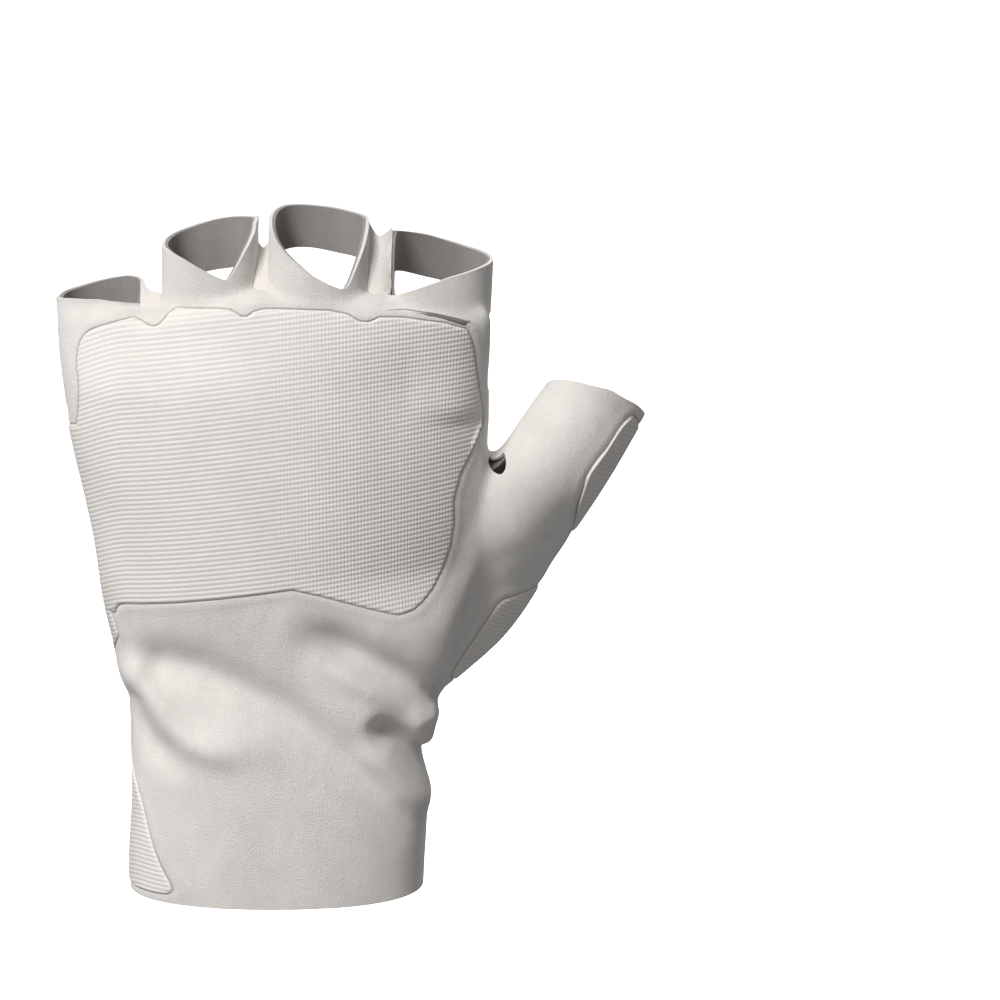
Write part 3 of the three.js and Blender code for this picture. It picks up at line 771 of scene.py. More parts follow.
# materials
class Signal:
    # a node socket that takes part in sums
    def __init__(self, shade, socket):
        self.shade = shade
        self.socket = socket

    def isColour(self):
        return self.socket.type in ("RGBA", "VECTOR")

    def combine(self, operation, other, swap=False):
        first, second = (other, self) if swap else (self, other)
        otherColour = other.isColour() if isinstance(other, Signal) else isinstance(other, tuple)
        colours = self.isColour() or otherColour
        kind = "ShaderNodeVectorMath" if colours else "ShaderNodeMath"
        if colours:
            first, second = (
                (item, item, item) if isinstance(item, (int, float)) else item for item in (first, second)
            )
        return self.shade.node(kind, {"operation": operation}, {0: first, 1: second})

    def __add__(self, other):
        return self.combine("ADD", other)

    def __radd__(self, other):
        return self.combine("ADD", other, True)

    def __sub__(self, other):
        return self.combine("SUBTRACT", other)

    def __rsub__(self, other):
        return self.combine("SUBTRACT", other, True)

    def __mul__(self, other):
        return self.combine("MULTIPLY", other)

    def __rmul__(self, other):
        return self.combine("MULTIPLY", other, True)

    def __truediv__(self, other):
        return self.combine("DIVIDE", other)

    def atMost(self, other):
        return self.combine("MINIMUM", other)

    def sine(self):
        return self.shade.node("ShaderNodeMath", {"operation": "SINE"}, {0: self})

    def size(self):
        return self.shade.node("ShaderNodeMath", {"operation": "ABSOLUTE"}, {0: self})

    def ramp(self, low, high, bottom=0.0, top=1.0):
        # smooth change from bottom to top as the value goes from low to high
        return self.shade.node(
            "ShaderNodeMapRange",
            {"interpolation_type": "SMOOTHSTEP"},
            {"Value": self, "From Min": low, "From Max": high, "To Min": bottom, "To Max": top},
        )

    def tint(self, first, second):
        # colour between two colours
        return self.shade.node(
            "ShaderNodeMix", {"data_type": "RGBA"}, {0: self, 6: first, 7: second}, output=2
        )


class Shade:
    def __init__(self, name, roughness, **fixed):
        self.material = bpy.data.materials.new(name)
        self.material.use_nodes = True
        self.tree = self.material.node_tree
        self.surface = self.tree.nodes["Principled BSDF"]
        self.surface.inputs["Roughness"].default_value = roughness
        for socket, value in fixed.items():
            self.surface.inputs[socket.replace("_", " ")].default_value = value

    def node(self, kind, settings=None, values=None, output=0):
        node = self.tree.nodes.new(kind)
        for key, value in (settings or {}).items():
            setattr(node, key, value)
        for key, value in (values or {}).items():
            if isinstance(value, Signal):
                self.tree.links.new(value.socket, node.inputs[key])
            else:
                node.inputs[key].default_value = value
        return Signal(self, node.outputs[output])

    def place(self):
        # object space, in millimetres
        spot = self.node("ShaderNodeTexCoord", output="Object")
        return spot * (1000.0, 1000.0, 1000.0)

    def weave(self):
        # the millimetres along and across a laid patch
        spot = self.node("ShaderNodeUVMap", {"uv_map": "weave"})
        split = self.node("ShaderNodeSeparateXYZ", None, {0: spot * (100.0, 100.0, 100.0)})
        return split, Signal(self, split.socket.node.outputs[1])

    def number(self, name):
        return self.node("ShaderNodeAttribute", {"attribute_name": name}, output="Fac")

    def noise(self, spot, scale, detail=4.0, rough=0.55):
        return self.node(
            "ShaderNodeTexNoise",
            None,
            {"Vector": spot, "Scale": scale, "Detail": detail, "Roughness": rough},
        )

    def colour(self, signal):
        self.tree.links.new(signal.socket, self.surface.inputs["Base Color"])

    def relief(self, height, strength=1.0):
        # height in millimetres
        values = {"Height": height * mm, "Strength": strength, "Distance": 1.0}
        bump = self.node("ShaderNodeBump", None, values)
        self.tree.links.new(bump.socket, self.surface.inputs["Normal"])


suedeLook = {
    "light": (0.83, 0.795, 0.765, 1.0),
    "worn": (0.685, 0.655, 0.625, 1.0),
    # colour of the painted shade in the thin gap where the suede meets the rubber
    "seamShade": (0.30, 0.28, 0.27, 1.0),
    "napHeight": 0.4,
    "napPerMm": 2.6,
}


def makeSuede(look):
    shade = Shade("suede", 0.95, Sheen_Weight=0.35, Sheen_Roughness=0.5, Specular_IOR_Level=0.2)
    spot = shade.place()
    nap = shade.noise(spot, look["napPerMm"], 5.0, 0.68)
    brushed = shade.noise(spot * (1.0, 1.0, 0.45), 0.28, 3.0, 0.6)
    broad = shade.noise(spot, 0.045, 2.0)
    tone = (nap * 0.65 + brushed * 0.35).ramp(0.36, 0.64)
    colour = (tone * 0.6 + broad.ramp(0.35, 0.7) * 0.4).tint(look["worn"], look["light"])
    # painted shade: a thin dark line in the suede along its seam with the rubber, standing for the shadow
    # in the gap
    gap = shade.number("seamGap")
    line = gap.size().ramp(0.05, 0.55, 1.0, 0.0)
    colour = (line * 0.75).tint(colour, look["seamShade"])
    shade.colour(colour)
    shade.relief(nap * look["napHeight"] + brushed * 0.08 - line * 0.25, 0.9)
    return shade.material


liningLook = {
    "light": (0.33, 0.315, 0.305, 1.0),
    "dark": (0.235, 0.222, 0.214, 1.0),
    "stitch": 0.55,
}


def makeLining(look):
    shade = Shade("knitted_lining", 0.95, Sheen_Weight=0.15, Specular_IOR_Level=0.15)
    spot = shade.place()
    split = shade.node("ShaderNodeSeparateXYZ", None, {0: spot})
    x, z = split, Signal(shade, split.socket.node.outputs[2])
    wales = (x * (math.tau / look["stitch"])).sine()
    courses = (z * (math.tau / look["stitch"])).sine()
    knit = wales * 0.5 + courses * 0.5
    grain = shade.noise(spot, 2.2, 4.0, 0.7)
    broad = shade.noise(spot, 0.08, 2.0)
    tone = knit * 0.08 + grain * 0.6 + broad * 0.4
    shade.colour(tone.ramp(0.25, 0.85).tint(look["dark"], look["light"]))
    shade.relief(knit * 0.03 + grain * 0.08, 0.9)
    return shade.material


rubberLook = {
    "light": (0.79, 0.757, 0.728, 1.0),
    "worn": (0.70, 0.672, 0.645, 1.0),
    # colour of the painted shade in the grooves between the rungs and in the pits
    "grooveShade": (0.62, 0.59, 0.565, 1.0),
    # colour of the painted highlight along the panel's cut edge
    "edge": (0.82, 0.79, 0.76, 1.0),
}


def makeRubber(look, ribs):
    shade = Shade("ribbed_rubber", 0.62, Specular_IOR_Level=0.35)
    spot = shade.place()
    along, across = shade.weave()
    ridge = (across * (math.tau / ribs["pitch"])).sine()
    cross = (along * (math.tau / ribs["column"]) + math.pi / 2).sine()
    grain = shade.noise(spot, 1.6, 5.0, 0.7)
    broad = shade.noise(spot, 0.07, 2.0)
    base = (grain * 0.55 + broad * 0.45).ramp(0.3, 0.7).tint(look["worn"], look["light"])
    waffle = along.ramp(-20.0, 25.0, 0.1, 1.0)
    pits = (cross * -1.0).ramp(-0.2, 1.0) * waffle
    # painted shade: the grooves between the rungs and the pits between the columns are darkened in colour
    depth = (ridge * -1.0).ramp(0.35, 1.0) * 0.7 + pits * 0.3
    colour = depth.atMost(1.0).tint(base, look["grooveShade"])
    # painted highlight: a pale band along the panel's cut edge, where its proud edge catches the light
    rim = shade.number("inset").size().ramp(0.1, 0.32, 1.0, 0.0)
    shade.colour((rim * 0.7).tint(colour, look["edge"]))
    shade.relief(grain * 0.07 - pits * ribs["pit"], 0.9)
    return shade.material


tapeLook = {"light": (0.52, 0.49, 0.465, 1.0), "dark": (0.36, 0.34, 0.325, 1.0)}


def makeTape(look, name, rib=0.6):
    shade = Shade(name, 0.9, Sheen_Weight=0.12, Specular_IOR_Level=0.2)
    spot = shade.place()
    along, across = shade.weave()
    weft = (across * (math.tau / rib)).sine()
    warp = (along * (math.tau / rib)).sine()
    grain = shade.noise(spot, 2.0, 4.0, 0.7)
    tone = weft * warp * 0.2 + grain
    shade.colour(tone.ramp(0.3, 0.8).tint(look["dark"], look["light"]))
    shade.relief(weft * warp * 0.05 + grain * 0.1, 0.9)
    return shade.material


def makeBlack(name, light, dark, roughness, grainSize):
    shade = Shade(name, roughness, Specular_IOR_Level=0.3)
    spot = shade.place()
    grain = shade.noise(spot, grainSize, 5.0, 0.65)
    shade.colour(grain.ramp(0.35, 0.7).tint(dark, light))
    shade.relief(grain * 0.12, 0.8)
    return shade.material


def makeThread(name, colour):
    shade = Shade(name, 0.7, Specular_IOR_Level=0.3)
    grain = shade.noise(shade.place(), 3.0, 3.0)
    shade.colour(grain.ramp(0.3, 0.7).tint(tuple(0.75 * part for part in colour[:3]) + (1.0,), colour))
    shade.relief(grain * 0.05, 0.8)
    return shade.material


gripSettings = {
    "pitch": 1.18,
    "column": 0.84,
    "rowSteps": 4,
    "columnSteps": 2,
    "body": 0.5,
    "rib": 0.18,
    "pit": 0.06,
    "slope": 0.118,
    "drop": 4.5,
    "girth": (-118.0, 66.0),
    "rise": (-10.0, 158.0),
    "foot": 0.9,
}

suede = makeSuede(suedeLook)
knit = makeLining(liningLook)
rubber = makeRubber(rubberLook, gripSettings)
tape = makeTape(tapeLook, "binding_tape")
webbing = makeTape({"light": (0.24, 0.226, 0.217, 1.0), "dark": (0.15, 0.14, 0.134, 1.0)}, "webbing", 0.8)
pileBlack = makeBlack("loop_pile", (0.012, 0.0115, 0.011, 1.0), (0.003, 0.003, 0.003, 1.0), 0.95, 2.0)
strapBlack = makeBlack("black_strap", (0.011, 0.011, 0.0105, 1.0), (0.0055, 0.0055, 0.0052, 1.0), 0.55, 1.4)
palePiping = makeThread("pale_piping", (0.78, 0.75, 0.72, 1.0))
# grey thread for the stitches; the same colour also paints the shadow in the slot under the turned edge
darkThreadAndSlotShadow = makeThread("grey_thread_and_slot_shadow", (0.22, 0.21, 0.20, 1.0))
print("materials made")


def dress(piece, material, node):
    piece.data.materials.append(material)
    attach(piece, "root")
    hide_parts(node)


# leather shell
shellSettings = {"leather": 0.85, "lip": 0.32, "lipPlace": 1.2, "lipWidth": 0.9}


def gripKeep(points):
    x, y, z = points.T
    back = np.maximum(outlineDistance(x, z, outlines["gripBack"], 1), y - sideSeam)
    wrap = sideSeam - 8.4 * smoothStep(z, 58.0, 67.0)
    palm = np.maximum(outlineDistance(x, z, outlines["gripPalm"]), wrap - y)
    tail = np.maximum(outlineDistance(y, z, gripTail), x + 15.0)
    return -np.minimum(np.minimum(back, palm), tail)


def thumbKeep(points):
    x, y, z = points.T
    seen = z + y * math.tan(math.radians(cameraSettings["elevation"]))
    place, end, across, through, reach = thumbFrame(x, y, z)
    past = np.maximum(through - thumbEdge, y - thumbSeam(x)) - 1.0
    back = np.maximum(outlineDistance(x, seen, outlines["thumbBack"], 1), past)
    palm = np.maximum(outlineDistance(x, z, outlines["thumbPalm"]), -past)
    tip = rimHeight(thumbRim, across, through) - end - 2.2
    return np.minimum(-np.minimum(back, palm), tip)


def skinSheet(level, inset):
    vertices, faces = surfaceNets(formValues - level, gridSettings["low"], gridSettings["step"])
    vertices = settle(vertices, level)
    vertices, faces = clipFaces(vertices, faces, keepField(vertices) - inset)
    return mainParts(vertices, faces)


def makeShell(settings):
    vertices, faces = skinSheet(0.0, 0.0)
    gap = -np.maximum(gripKeep(vertices), thumbKeep(vertices))
    lip = np.exp(-(((gap - settings["lipPlace"]) / settings["lipWidth"]) ** 2)) * (gap > 0)
    normal = formNormal(vertices)
    vertices = vertices + normal * (settings["lip"] * lip)[:, None]
    shell = thickSheet("suede_body", vertices, faces, normal, settings["leather"])
    addNumber(shell, "seamGap", np.concatenate([gap, np.full(len(gap), 9.0)]))
    dress(shell, suede, "suede_shell")
    print("leather shell made,", len(faces), "faces")


makeShell(shellSettings)

# cloth lining
liningSettings = {"level": -0.93, "cloth": 0.6, "inset": 0.2}


def makeLiningCloth(settings):
    vertices, faces = skinSheet(settings["level"], settings["inset"])
    lining = thickSheet("lining_cloth", vertices, faces, formNormal(vertices), settings["cloth"])
    dress(lining, knit, "lining")
    print("lining made,", len(faces), "faces")


makeLiningCloth(liningSettings)


# suede webs that close the gaps between the finger loops
crotchWebs = {
    "ring": {"between": ("ring", "middle"), "low": 148.5, "middle": 160.5,
             "ends": (163.5, 164.5), "depth": (-6.5, 1.0)},
    "index": {"between": ("middle", "index"), "low": 148.0, "middle": 163.2,
              "ends": (168.3, 165.4), "depth": (-6.0, 1.5)},
    "pinky": {"between": ("pinky", "ring"), "low": 143.0, "middle": 149.6,
              "ends": (152.0, 148.4), "depth": (-6.0, 2.5)},
}
webSheet = {"columns": 13, "rows": 22, "tuck": 0.9, "bulge": 1.1, "leather": 0.8}


def makeCrotchWeb(name, web, settings):
    u, v = np.meshgrid(np.linspace(-1, 1, settings["columns"]), np.linspace(0, 1, settings["rows"]))
    edge = np.where(u < 0, web["ends"][0], web["ends"][1])
    top = web["middle"] + (edge - web["middle"]) * np.abs(u) ** 1.4
    z = web["low"] + v * (top - web["low"])
    left = fingerWalls(fingers[web["between"][0]], z)[1] - settings["tuck"]
    right = fingerWalls(fingers[web["between"][1]], z)[0] + settings["tuck"]
    x = (left + right) / 2 + u * (right - left) / 2
    low, high = web["depth"]
    y = low + (high - low) * v - settings["bulge"] * (1 - u**2)
    points = np.stack([x, y, z], -1)
    down = np.gradient(points, axis=0)
    across = np.gradient(points, axis=1)
    normal = np.cross(across, down)
    normal /= np.linalg.norm(normal, axis=2)[..., None]
    faces = [list(map(int, face)) for face in gridFaces(settings["rows"], settings["columns"])]
    points, normal = points.reshape(-1, 3), normal.reshape(-1, 3)
    sheet = thickSheet(f"crotch_web_{name}", points, faces, normal, settings["leather"])
    addNumber(sheet, "seamGap", np.full(len(sheet.data.vertices), 9.0))
    dress(sheet, suede, "suede_shell")


for name, web in crotchWebs.items():
    makeCrotchWeb(name, web, webSheet)
print("webs between the loops made")


# ribbed rubber over the back, the outer edge and the heel
def sectionCurves(level, heights, count=360):
    # the outline of the form at each height, found from outside along rays from the middle
    low, high, back, palm, _ = (np.interp(heights, handUp, column) for column in handColumns)
    centreX = ((low + high) / 2)[:, None]
    centreY = ((back + palm) / 2)[:, None]
    angle = -math.pi / 2 + np.linspace(-math.pi, math.pi, count)[None, :]
    angle = np.arctan2(np.sin(angle) * 0.45, np.cos(angle))  # evens out the spacing on the flat sides
    angle = np.where(angle > math.pi / 2, angle - math.tau, angle)
    angle = np.sort(angle, axis=1)
    cos, sin = np.cos(angle), np.sin(angle)
    z = np.broadcast_to(heights[:, None], (len(heights), count))
    reach = np.full(z.shape, 64.0)
    found = np.zeros(z.shape, bool)

    def inside(radius):
        return formDistance(centreX + radius * cos, centreY + radius * sin, z) < level

    for radius in np.arange(64.0, 6.0, -1.0):
        met = inside(radius)
        reach[met & ~found] = radius
        found |= met
    near = bisect(inside, reach, reach + 1.0, 14)
    return np.stack([centreX + near * cos, centreY + near * sin, z + 0 * near], -1)


def unrolledForm(level, heights, girth):
    # points at even steps round the form, counted from the middle of the back
    rows = []
    for curve in sectionCurves(level, heights):
        steps = np.linalg.norm(np.diff(curve, axis=0), axis=1)
        along = np.concatenate(([0.0], np.cumsum(steps)))
        back = slice(len(curve) // 2 - 50, len(curve) // 2 + 50)
        along -= np.interp(0.0, curve[back, 0], along[back])
        rows.append(np.stack([np.interp(girth, along, curve[:, axis]) for axis in range(3)], -1))
    return np.array(rows)


def bilinear(table, rows, columns):
    r = np.clip(rows, 0, table.shape[0] - 1.001)
    c = np.clip(columns, 0, table.shape[1] - 1.001)
    r0, c0 = r.astype(int), c.astype(int)
    fr, fc = (r - r0)[..., None], (c - c0)[..., None]
    top = table[r0, c0] * (1 - fc) + table[r0, c0 + 1] * fc
    bottom = table[r0 + 1, c0] * (1 - fc) + table[r0 + 1, c0 + 1] * fc
    return top * (1 - fr) + bottom * fr


def ribHeight(mapped, settings):
    # rounded rungs with narrow grooves, and a fainter row of cross grooves
    rung = 0.5 - 0.5 * np.sin(math.tau * mapped[:, 1] / settings["pitch"])
    cross = 0.5 - 0.5 * np.cos(math.tau * mapped[:, 0] / settings["column"])
    waffle = 0.15 + 0.45 * smoothStep(mapped[:, 0], -25.0, 25.0)
    return 1.0 - rung**2.0 - waffle * cross**2.0


def ribLift(settings):
    def lift(flat, keep, mapped):
        body = settings["body"] * smoothStep(keep, -0.3, 0.5)
        return body + settings["rib"] * ribHeight(mapped, settings)

    return lift


def makeGrip(settings):
    girthTable = np.arange(settings["girth"][0] - 4, settings["girth"][1] + 4, 1.0)
    heightTable = np.arange(-14.0, 156.0, 1.0)
    table = unrolledForm(0.0, heightTable, girthTable)
    girth = np.arange(*settings["girth"], settings["column"] / settings["columnSteps"])
    rise = np.arange(*settings["rise"], settings["pitch"] / settings["rowSteps"])
    v, s = np.meshgrid(rise, girth, indexing="ij")
    across = np.interp(s, girthTable, table[100, :, 0])
    lean = settings["slope"] * across * smoothStep(v, 0.0, 60.0)
    lean = lean - settings["drop"] * smoothStep(-s, 34.0, 56.0)
    points = bilinear(table, v + lean - heightTable[0], s - girthTable[0])
    coordinates = np.stack([s, v], -1)

    lift = ribLift(settings)
    grip = raisedPatch("grip_rubber", points, coordinates, gripKeep, lift, foot=settings["foot"])
    dress(grip, rubber, "grip_panel")
    print("grip panel made,", len(grip.data.polygons), "faces")


makeGrip(gripSettings)


# ribbed rubber on the outside of the thumb, its rungs square to the thumb
def makeThumbRubber(settings):
    place = np.arange(-2.0, 110.0, settings["pitch"] / settings["rowSteps"])
    turn = np.radians(np.arange(-150.0, 150.0, 2.2))
    p, angle = np.meshgrid(place, turn, indexing="ij")
    reach = (thumbAxis[:, [0, 2]] - thumbAxis[0, [0, 2]]) @ thumbHeading
    beyond = p - np.clip(p, reach[0], reach[-1])
    centreX = np.interp(p, reach, thumbAxis[:, 0]) + beyond * thumbHeading[0]
    centreZ = np.interp(p, reach, thumbAxis[:, 2]) + beyond * thumbHeading[1]
    centreY = np.interp(p, reach, thumbAxis[:, 1])
    outX, outZ = np.cos(angle) * thumbHeading[1], -np.cos(angle) * thumbHeading[0]
    outY = np.sin(angle)

    def inside(radius):
        return formDistance(centreX + radius * outX, centreY + radius * outY, centreZ + radius * outZ) < 0

    near = bisect(inside, np.zeros(p.shape), np.full(p.shape, 26.0), 18)
    points = np.stack([centreX + near * outX, centreY + near * outY, centreZ + near * outZ], -1)
    coordinates = np.stack([np.degrees(angle) * 0.21, p], -1)

    lift, foot = ribLift(settings), settings["foot"]
    patch = raisedPatch("thumb_rubber", points, coordinates, thumbKeep, lift, foot=foot, foldFaces=True)
    dress(patch, rubber, "thumb_patch")
    print("thumb rubber made,", len(patch.data.polygons), "faces")


makeThumbRubber(gripSettings)


# flat pieces on the palm side, each a grid seen from the palm
def flatGrid(outline, step, start, end, level, hollow=False):
    points = np.array(outline, float)
    low, high = points.min(0) - 1.0, points.max(0) + 1.0
    x, z = np.meshgrid(np.arange(low[0], high[0], step), np.arange(low[1], high[1], step), indexing="xy")
    return castForm(x, z, start, end, level, hollow), np.stack([x, z], -1)


def within(outline, rounds=2):
    def keepRule(flat):
        return -outlineDistance(flat[:, 0], flat[:, 2], outline, rounds)

    return keepRule


def pillow(keep, edge):
    # rises from nothing at the rim to full over a rounded edge
    share = np.clip(keep / edge, 0.0, 1.0)
    return np.sqrt(1.0 - (1.0 - share) ** 2)


bindingSettings = {"step": 0.4, "thickness": 1.2, "edge": 0.9}


def makeBinding(settings):
    points, coordinates = flatGrid(outlines["binding"], settings["step"], 30.0, 0.0, 0.0)

    def lift(flat, keep, mapped):
        return 0.2 + (settings["thickness"] - 0.2) * pillow(keep, settings["edge"])

    binding = raisedPatch("binding_tape", points, coordinates, within(outlines["binding"]), lift, foot=0.9)
    dress(binding, tape, "palm_binding")


makeBinding(bindingSettings)

webSettings = {
    "step": 0.45,
    "level": -1.56,
    "thickness": 0.9,
    "edge": 0.8,
    "tackHeight": 0.5,
    "tackPlace": 3.0,
    "tackSpread": 2.2,
}


def makeWebStrip(finger, outline, settings):
    points, coordinates = flatGrid(outline, settings["step"], 0.0, -26.0, settings["level"], hollow=True)
    foot = min(z for _, z in outline)

    def lift(flat, keep, mapped):
        puff = np.exp(-(((mapped[:, 1] - foot - settings["tackPlace"]) / settings["tackSpread"]) ** 2))
        wobble = 0.5 + 0.5 * np.sin(mapped[:, 0] * 3.1 + mapped[:, 1] * 2.3) * np.sin(mapped[:, 1] * 3.7)
        height = settings["thickness"] * pillow(keep, settings["edge"])
        return height + settings["tackHeight"] * puff * wobble * smoothStep(keep, 0.0, 1.2)

    strip = raisedPatch(f"web_{finger}", points, coordinates, within(outline), lift, facing=-1.0, foot=0.3)
    dress(strip, webbing, f"web_strip_{finger}")


for finger, outline in webStrips.items():
    makeWebStrip(finger, outline, webSettings)
print("binding and web strips made")

# black loop pile and the strap end on it
pileSettings = {"step": 0.8, "base": 0.7, "height": 1.6, "loops": 5200, "loopWidth": 0.75, "yarn": 0.075}


def makePile(settings):
    points, coordinates = flatGrid(outlines["pile"], settings["step"], 30.0, 0.0, 0.0)

    def lift(flat, keep, mapped):
        return settings["base"] * pillow(keep, 0.6)

    base = raisedPatch("pile_base", points, coordinates, within(outlines["pile"], 1), lift, foot=0.6)
    dress(base, pileBlack, "loop_patch")

    corners = np.array(outlines["pile"], float)
    low, high = corners.min(0), corners.max(0)
    spread = rng.uniform(low, high, (settings["loops"] * 2, 2))
    inset = -outlineDistance(spread[:, 0], spread[:, 1], outlines["pile"])
    spread = spread[inset > 0.1][: settings["loops"]]
    root = castForm(spread[:, 0], spread[:, 1], 30.0, 0.0, 0.0)
    normal = formNormal(root)
    turn = rng.uniform(0, math.tau, len(root))
    side = np.stack([np.cos(turn), np.zeros(len(root)), np.sin(turn)], 1)
    side -= normal * (side * normal).sum(1)[:, None]
    side /= np.linalg.norm(side, axis=1)[:, None]
    height = settings["height"] * rng.uniform(0.6, 1.12, len(root))
    width = settings["loopWidth"] * rng.uniform(0.6, 1.3, len(root))
    tilt = rng.normal(0, 0.25, len(root))
    across = np.cross(normal, side)
    stages = np.linspace(0, math.pi, 6)
    rings = []
    for stage in stages:
        centre = root + side * (np.cos(stage) * width / 2)[:, None]
        rise = settings["base"] * 0.5 + np.sin(stage) * (height - settings["base"] * 0.5)
        centre = centre + normal * rise[:, None]
        centre = centre + across * (tilt * math.sin(stage))[:, None]
        outward = side * math.cos(stage) + normal * math.sin(stage)
        for corner in range(3):
            spin = math.tau * corner / 3
            rings.append(centre + (outward * math.cos(spin) + across * math.sin(spin)) * settings["yarn"])
    vertices = np.stack(rings, 1).reshape(-1, 3)
    faces = []
    for number in range(len(root)):
        start = number * len(rings)
        for stage in range(len(stages) - 1):
            for corner in range(3):
                a = start + stage * 3 + corner
                b = start + stage * 3 + (corner + 1) % 3
                faces.append([a, b, b + 3, a + 3])
    loops = makeMesh("pile_loops", vertices, faces)
    dress(loops, pileBlack, "loop_patch")
    print("loop pile made,", len(faces), "faces")


makePile(pileSettings)

tabSettings = {
    "step": 0.45,
    "thickness": 1.4,
    "edge": 0.6,
    "line": 1.7,
    "lineWidth": 0.35,
    "lineDepth": 0.25,
    "end": 34.5,
}


def makeTab(settings):
    points, coordinates = flatGrid(outlines["tab"], settings["step"], 30.0, 0.0, 0.0)
    level = pileSettings["height"]

    def keepRule(flat):
        return np.minimum(within(outlines["tab"], 0)(flat), settings["end"] - flat[:, 0])

    def lift(flat, keep, mapped):
        line = np.exp(-(((keep - settings["line"]) / settings["lineWidth"]) ** 2))
        top = level * (1.0 - 0.85 * smoothStep(flat[:, 0], 23.0, 30.0))
        body = settings["thickness"] * (0.35 + 0.65 * pillow(keep, settings["edge"]))
        return top + body - settings["lineDepth"] * line

    tab = raisedPatch("strap_end", points, coordinates, keepRule, lift, foot=1.0)
    dress(tab, strapBlack, "strap_tab")


makeTab(tabSettings)
print("strap end made")


# turned edges, piping and stitching, and a dark cord painted as the shadow in the slot under the turned
# edge
def onForm(line, side, spacing=0.5):
    # a path of points on the form, given across and up, from the back, the palm or as the eye sees the back
    corners = np.array(line, float)
    along = np.concatenate(([0.0], np.cumsum(np.linalg.norm(np.diff(corners, axis=0), axis=1))))
    steps = np.linspace(0.0, along[-1], max(int(along[-1] / spacing), 2))
    x, up = (np.interp(steps, along, corners[:, axis]) for axis in (0, 1))
    kernel = np.ones(7) / 7
    x, up = (np.convolve(np.pad(item, 3, mode="edge"), kernel, mode="valid") for item in (x, up))
    start = 30.0 if side == "palm" else -30.0
    slope = math.tan(math.radians(cameraSettings["elevation"])) if side == "eye" else 0.0
    y = np.zeros(len(x))
    for _ in range(8 if slope else 1):
        points = castForm(x, up - y * slope, start, -start, 0.0)
        y = points[:, 1]
    return points


def tubeFaces(rings, around, closed=True):
    faces = []
    for ring in range(rings - 1):
        for corner in range(around):
            a = ring * around + corner
            b = ring * around + (corner + 1) % around
            faces.append([a, b, b + around, a + around])
    if closed:
        faces.append(list(range(around - 1, -1, -1)))
        faces.append([(rings - 1) * around + corner for corner in range(around)])
    return faces


def makeCord(points, radius, lift):
    # a cord laid on the form, thinner towards its ends
    normal = formNormal(points)
    tangent = np.gradient(points, axis=0)
    tangent /= np.linalg.norm(tangent, axis=1)[:, None]
    side = np.cross(normal, tangent)
    side /= np.linalg.norm(side, axis=1)[:, None]
    share = np.linspace(0.0, 1.0, len(points))
    radius = np.interp(share, (0.0, 1.0), radius if isinstance(radius, tuple) else (radius, radius))
    thin = np.sqrt(np.clip(np.minimum(share, 1.0 - share) * 14.0, 0.05, 1.0))
    rings = []
    for corner in range(8):
        spin = math.tau * corner / 8
        offset = side * math.cos(spin) + normal * math.sin(spin)
        rings.append(points + normal * lift + offset * (radius * thin)[:, None])
    return np.stack(rings, 1).reshape(-1, 3), tubeFaces(len(points), 8)


def makeStitches(points, spacing, length, radius, lift):
    # short raised stitches along a path
    along = np.concatenate(([0.0], np.cumsum(np.linalg.norm(np.diff(points, axis=0), axis=1))))
    vertices, faces = [], []
    for start in np.arange(spacing / 2, along[-1] - length, spacing):
        steps = np.linspace(start, start + length, 5)
        spine = np.stack([np.interp(steps, along, points[:, axis]) for axis in range(3)], -1)
        ring, sides = makeCord(spine, radius, 0.0)
        rise = np.repeat(np.sin(np.linspace(0.15, math.pi - 0.15, 5)), 8)[:, None]
        ring = ring + np.repeat(formNormal(spine), 8, axis=0) * (lift * rise)
        faces += [[corner + sum(map(len, vertices)) for corner in face] for face in sides]
        vertices.append(ring)
    return np.concatenate(vertices), faces


seamSettings = {
    # line, where it is seen from, radius (at both ends where it changes), lift, material
    "thumb_welt": ([(87, 119.4), (84.2, 116.3), (80.8, 110.7), (76.6, 104.9), (75.4, 101), (74.3, 97.6),
                    (73.7, 93)], "eye", 0.27, 0.75, "palePiping"),
    "turned_edge": ([(27, 147.3), (33, 147.6), (40, 146.5), (46.5, 144.6),
                     (48.3, 143.6)], "back", (0.2, 0.4), 0.25,
                    "palePiping"),
    # a dark cord painted as the shadow in the slot between the turned edge and the rubber's top edge
    "slot_shadow_cord": ([(28, 146.8), (35, 146.6), (41, 145.6), (47.9, 143.2)], "back", (0.15, 0.75), -0.1,
                  "darkThreadAndSlotShadow"),
    "thumb_piping": ([(60.6, 97.6), (69.0, 104.4), (78.3, 110.6)], "palm", 0.5, 0.35, "palePiping"),
}
seamColours = {"palePiping": palePiping, "darkThreadAndSlotShadow": darkThreadAndSlotShadow}


def makeSeams():
    for name, (line, side, radius, lift, colour) in seamSettings.items():
        cord = makeMesh(name, *makeCord(onForm(line, side), radius, lift))
        dress(cord, seamColours[colour], "suede_shell")
    edge = outlines["binding"]
    seam = onForm(edge[:9], "palm")
    seam = seam + np.array([-1.0, 0.0, -1.3]) * 0.55
    stitches = makeMesh("binding_stitches", *makeStitches(seam, 2.4, 1.7, 0.17, 1.35))
    dress(stitches, darkThreadAndSlotShadow, "palm_binding")
    print("seams and stitches made")


makeSeams()


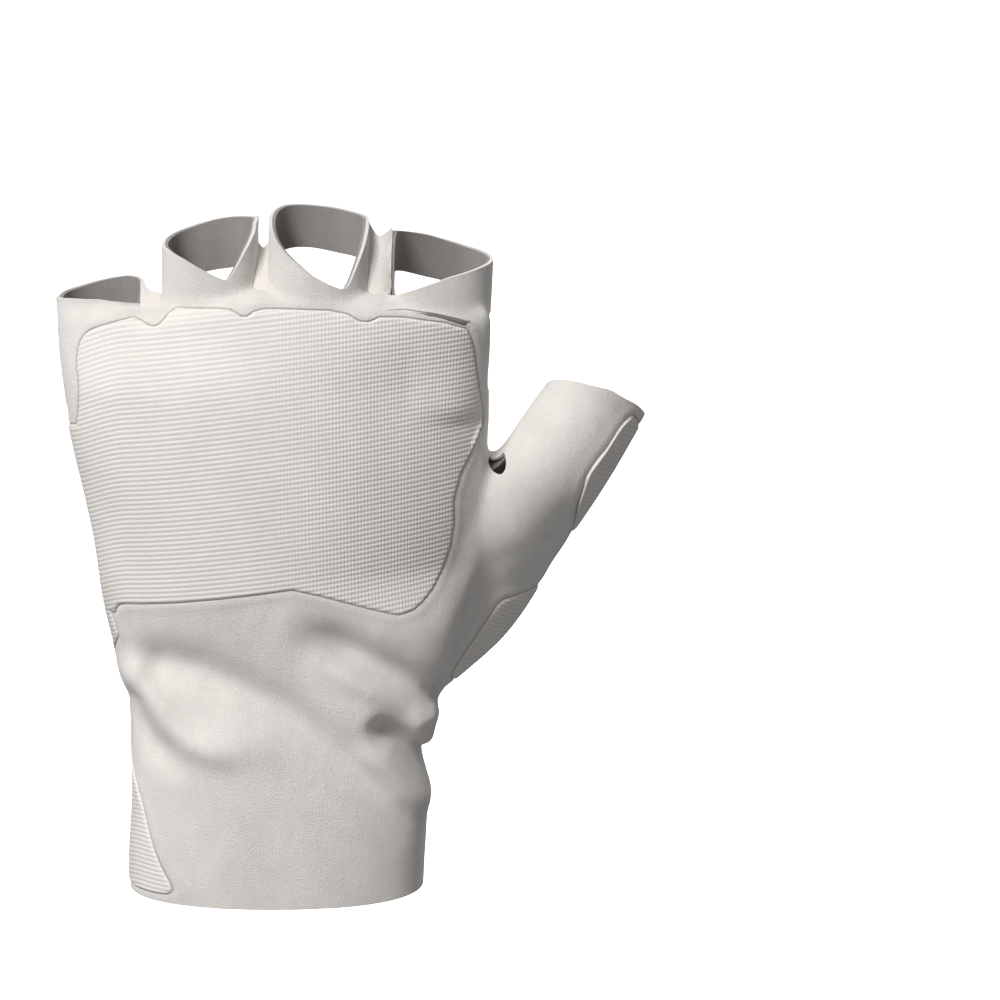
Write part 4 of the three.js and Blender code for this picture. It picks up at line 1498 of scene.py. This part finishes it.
# floor, light
lightSettings = {
    "key": {"place": (-1.0, -1.5, 1.82), "size": 0.7, "power": 66.0, "colour": (1.0, 0.985, 0.97)},
    "fill": {"place": (-0.4, -1.6, 0.3), "size": 1.2, "power": 2.0, "colour": (0.98, 0.99, 1.0)},
    "back": {"place": (0.3, 0.9, 0.7), "size": 0.8, "power": 7.0, "colour": (1.0, 1.0, 1.0)},
    "world": 0.235,
    "floorDrop": 0.12,
    "floorSize": 30.0,
}


def makeFloor(settings):
    half = settings["floorSize"] / mm
    corners = [(-half, -half, 0), (half, -half, 0), (half, half, 0), (-half, half, 0)]
    floor = makeMesh("studio_floor", np.array(corners), [[0, 1, 2, 3]])
    floor.location.z = -settings["floorDrop"]
    shade = Shade("studio_paper", 0.9, Specular_IOR_Level=0.1)
    grain = shade.noise(shade.place(), 0.002, 2.0)
    shade.colour(grain.tint((0.90, 0.90, 0.90, 1.0), (0.93, 0.93, 0.93, 1.0)))
    floor.data.materials.append(shade.material)
    floor.visible_diffuse = False
    floor.visible_glossy = False
    return floor


def makeLights(settings, floor):
    for name in ("key", "fill", "back"):
        choice = settings[name]
        lamp = bpy.data.lights.new(name, "AREA")
        lamp.energy = choice["power"]
        lamp.size = choice["size"]
        lamp.color = choice["colour"]
        light = bpy.data.objects.new(name, lamp)
        light.location = choice["place"]
        aim = Vector((0.01, 0.0, 0.08)) - light.location
        light.rotation_euler = aim.to_track_quat("-Z", "Y").to_euler()
        scene.collection.objects.link(light)
    lamp = bpy.data.lights.new("floor_light", "SUN")
    lamp.energy = 3.2
    lamp.angle = 0.5
    sun = bpy.data.objects.new("floor_light", lamp)
    scene.collection.objects.link(sun)
    lit = bpy.data.collections.new("lit_floor")
    lit.objects.link(floor)
    sun.light_linking.receiver_collection = lit
    world = bpy.data.worlds.new("studio")
    scene.world = world
    world.use_nodes = True
    backdrop = world.node_tree.nodes["Background"]
    backdrop.inputs["Color"].default_value = (1.0, 1.0, 1.0, 1.0)
    backdrop.inputs["Strength"].default_value = settings["world"]


makeLights(lightSettings, makeFloor(lightSettings))
scene.view_settings.view_transform = "Standard"
print("lights and floor set")
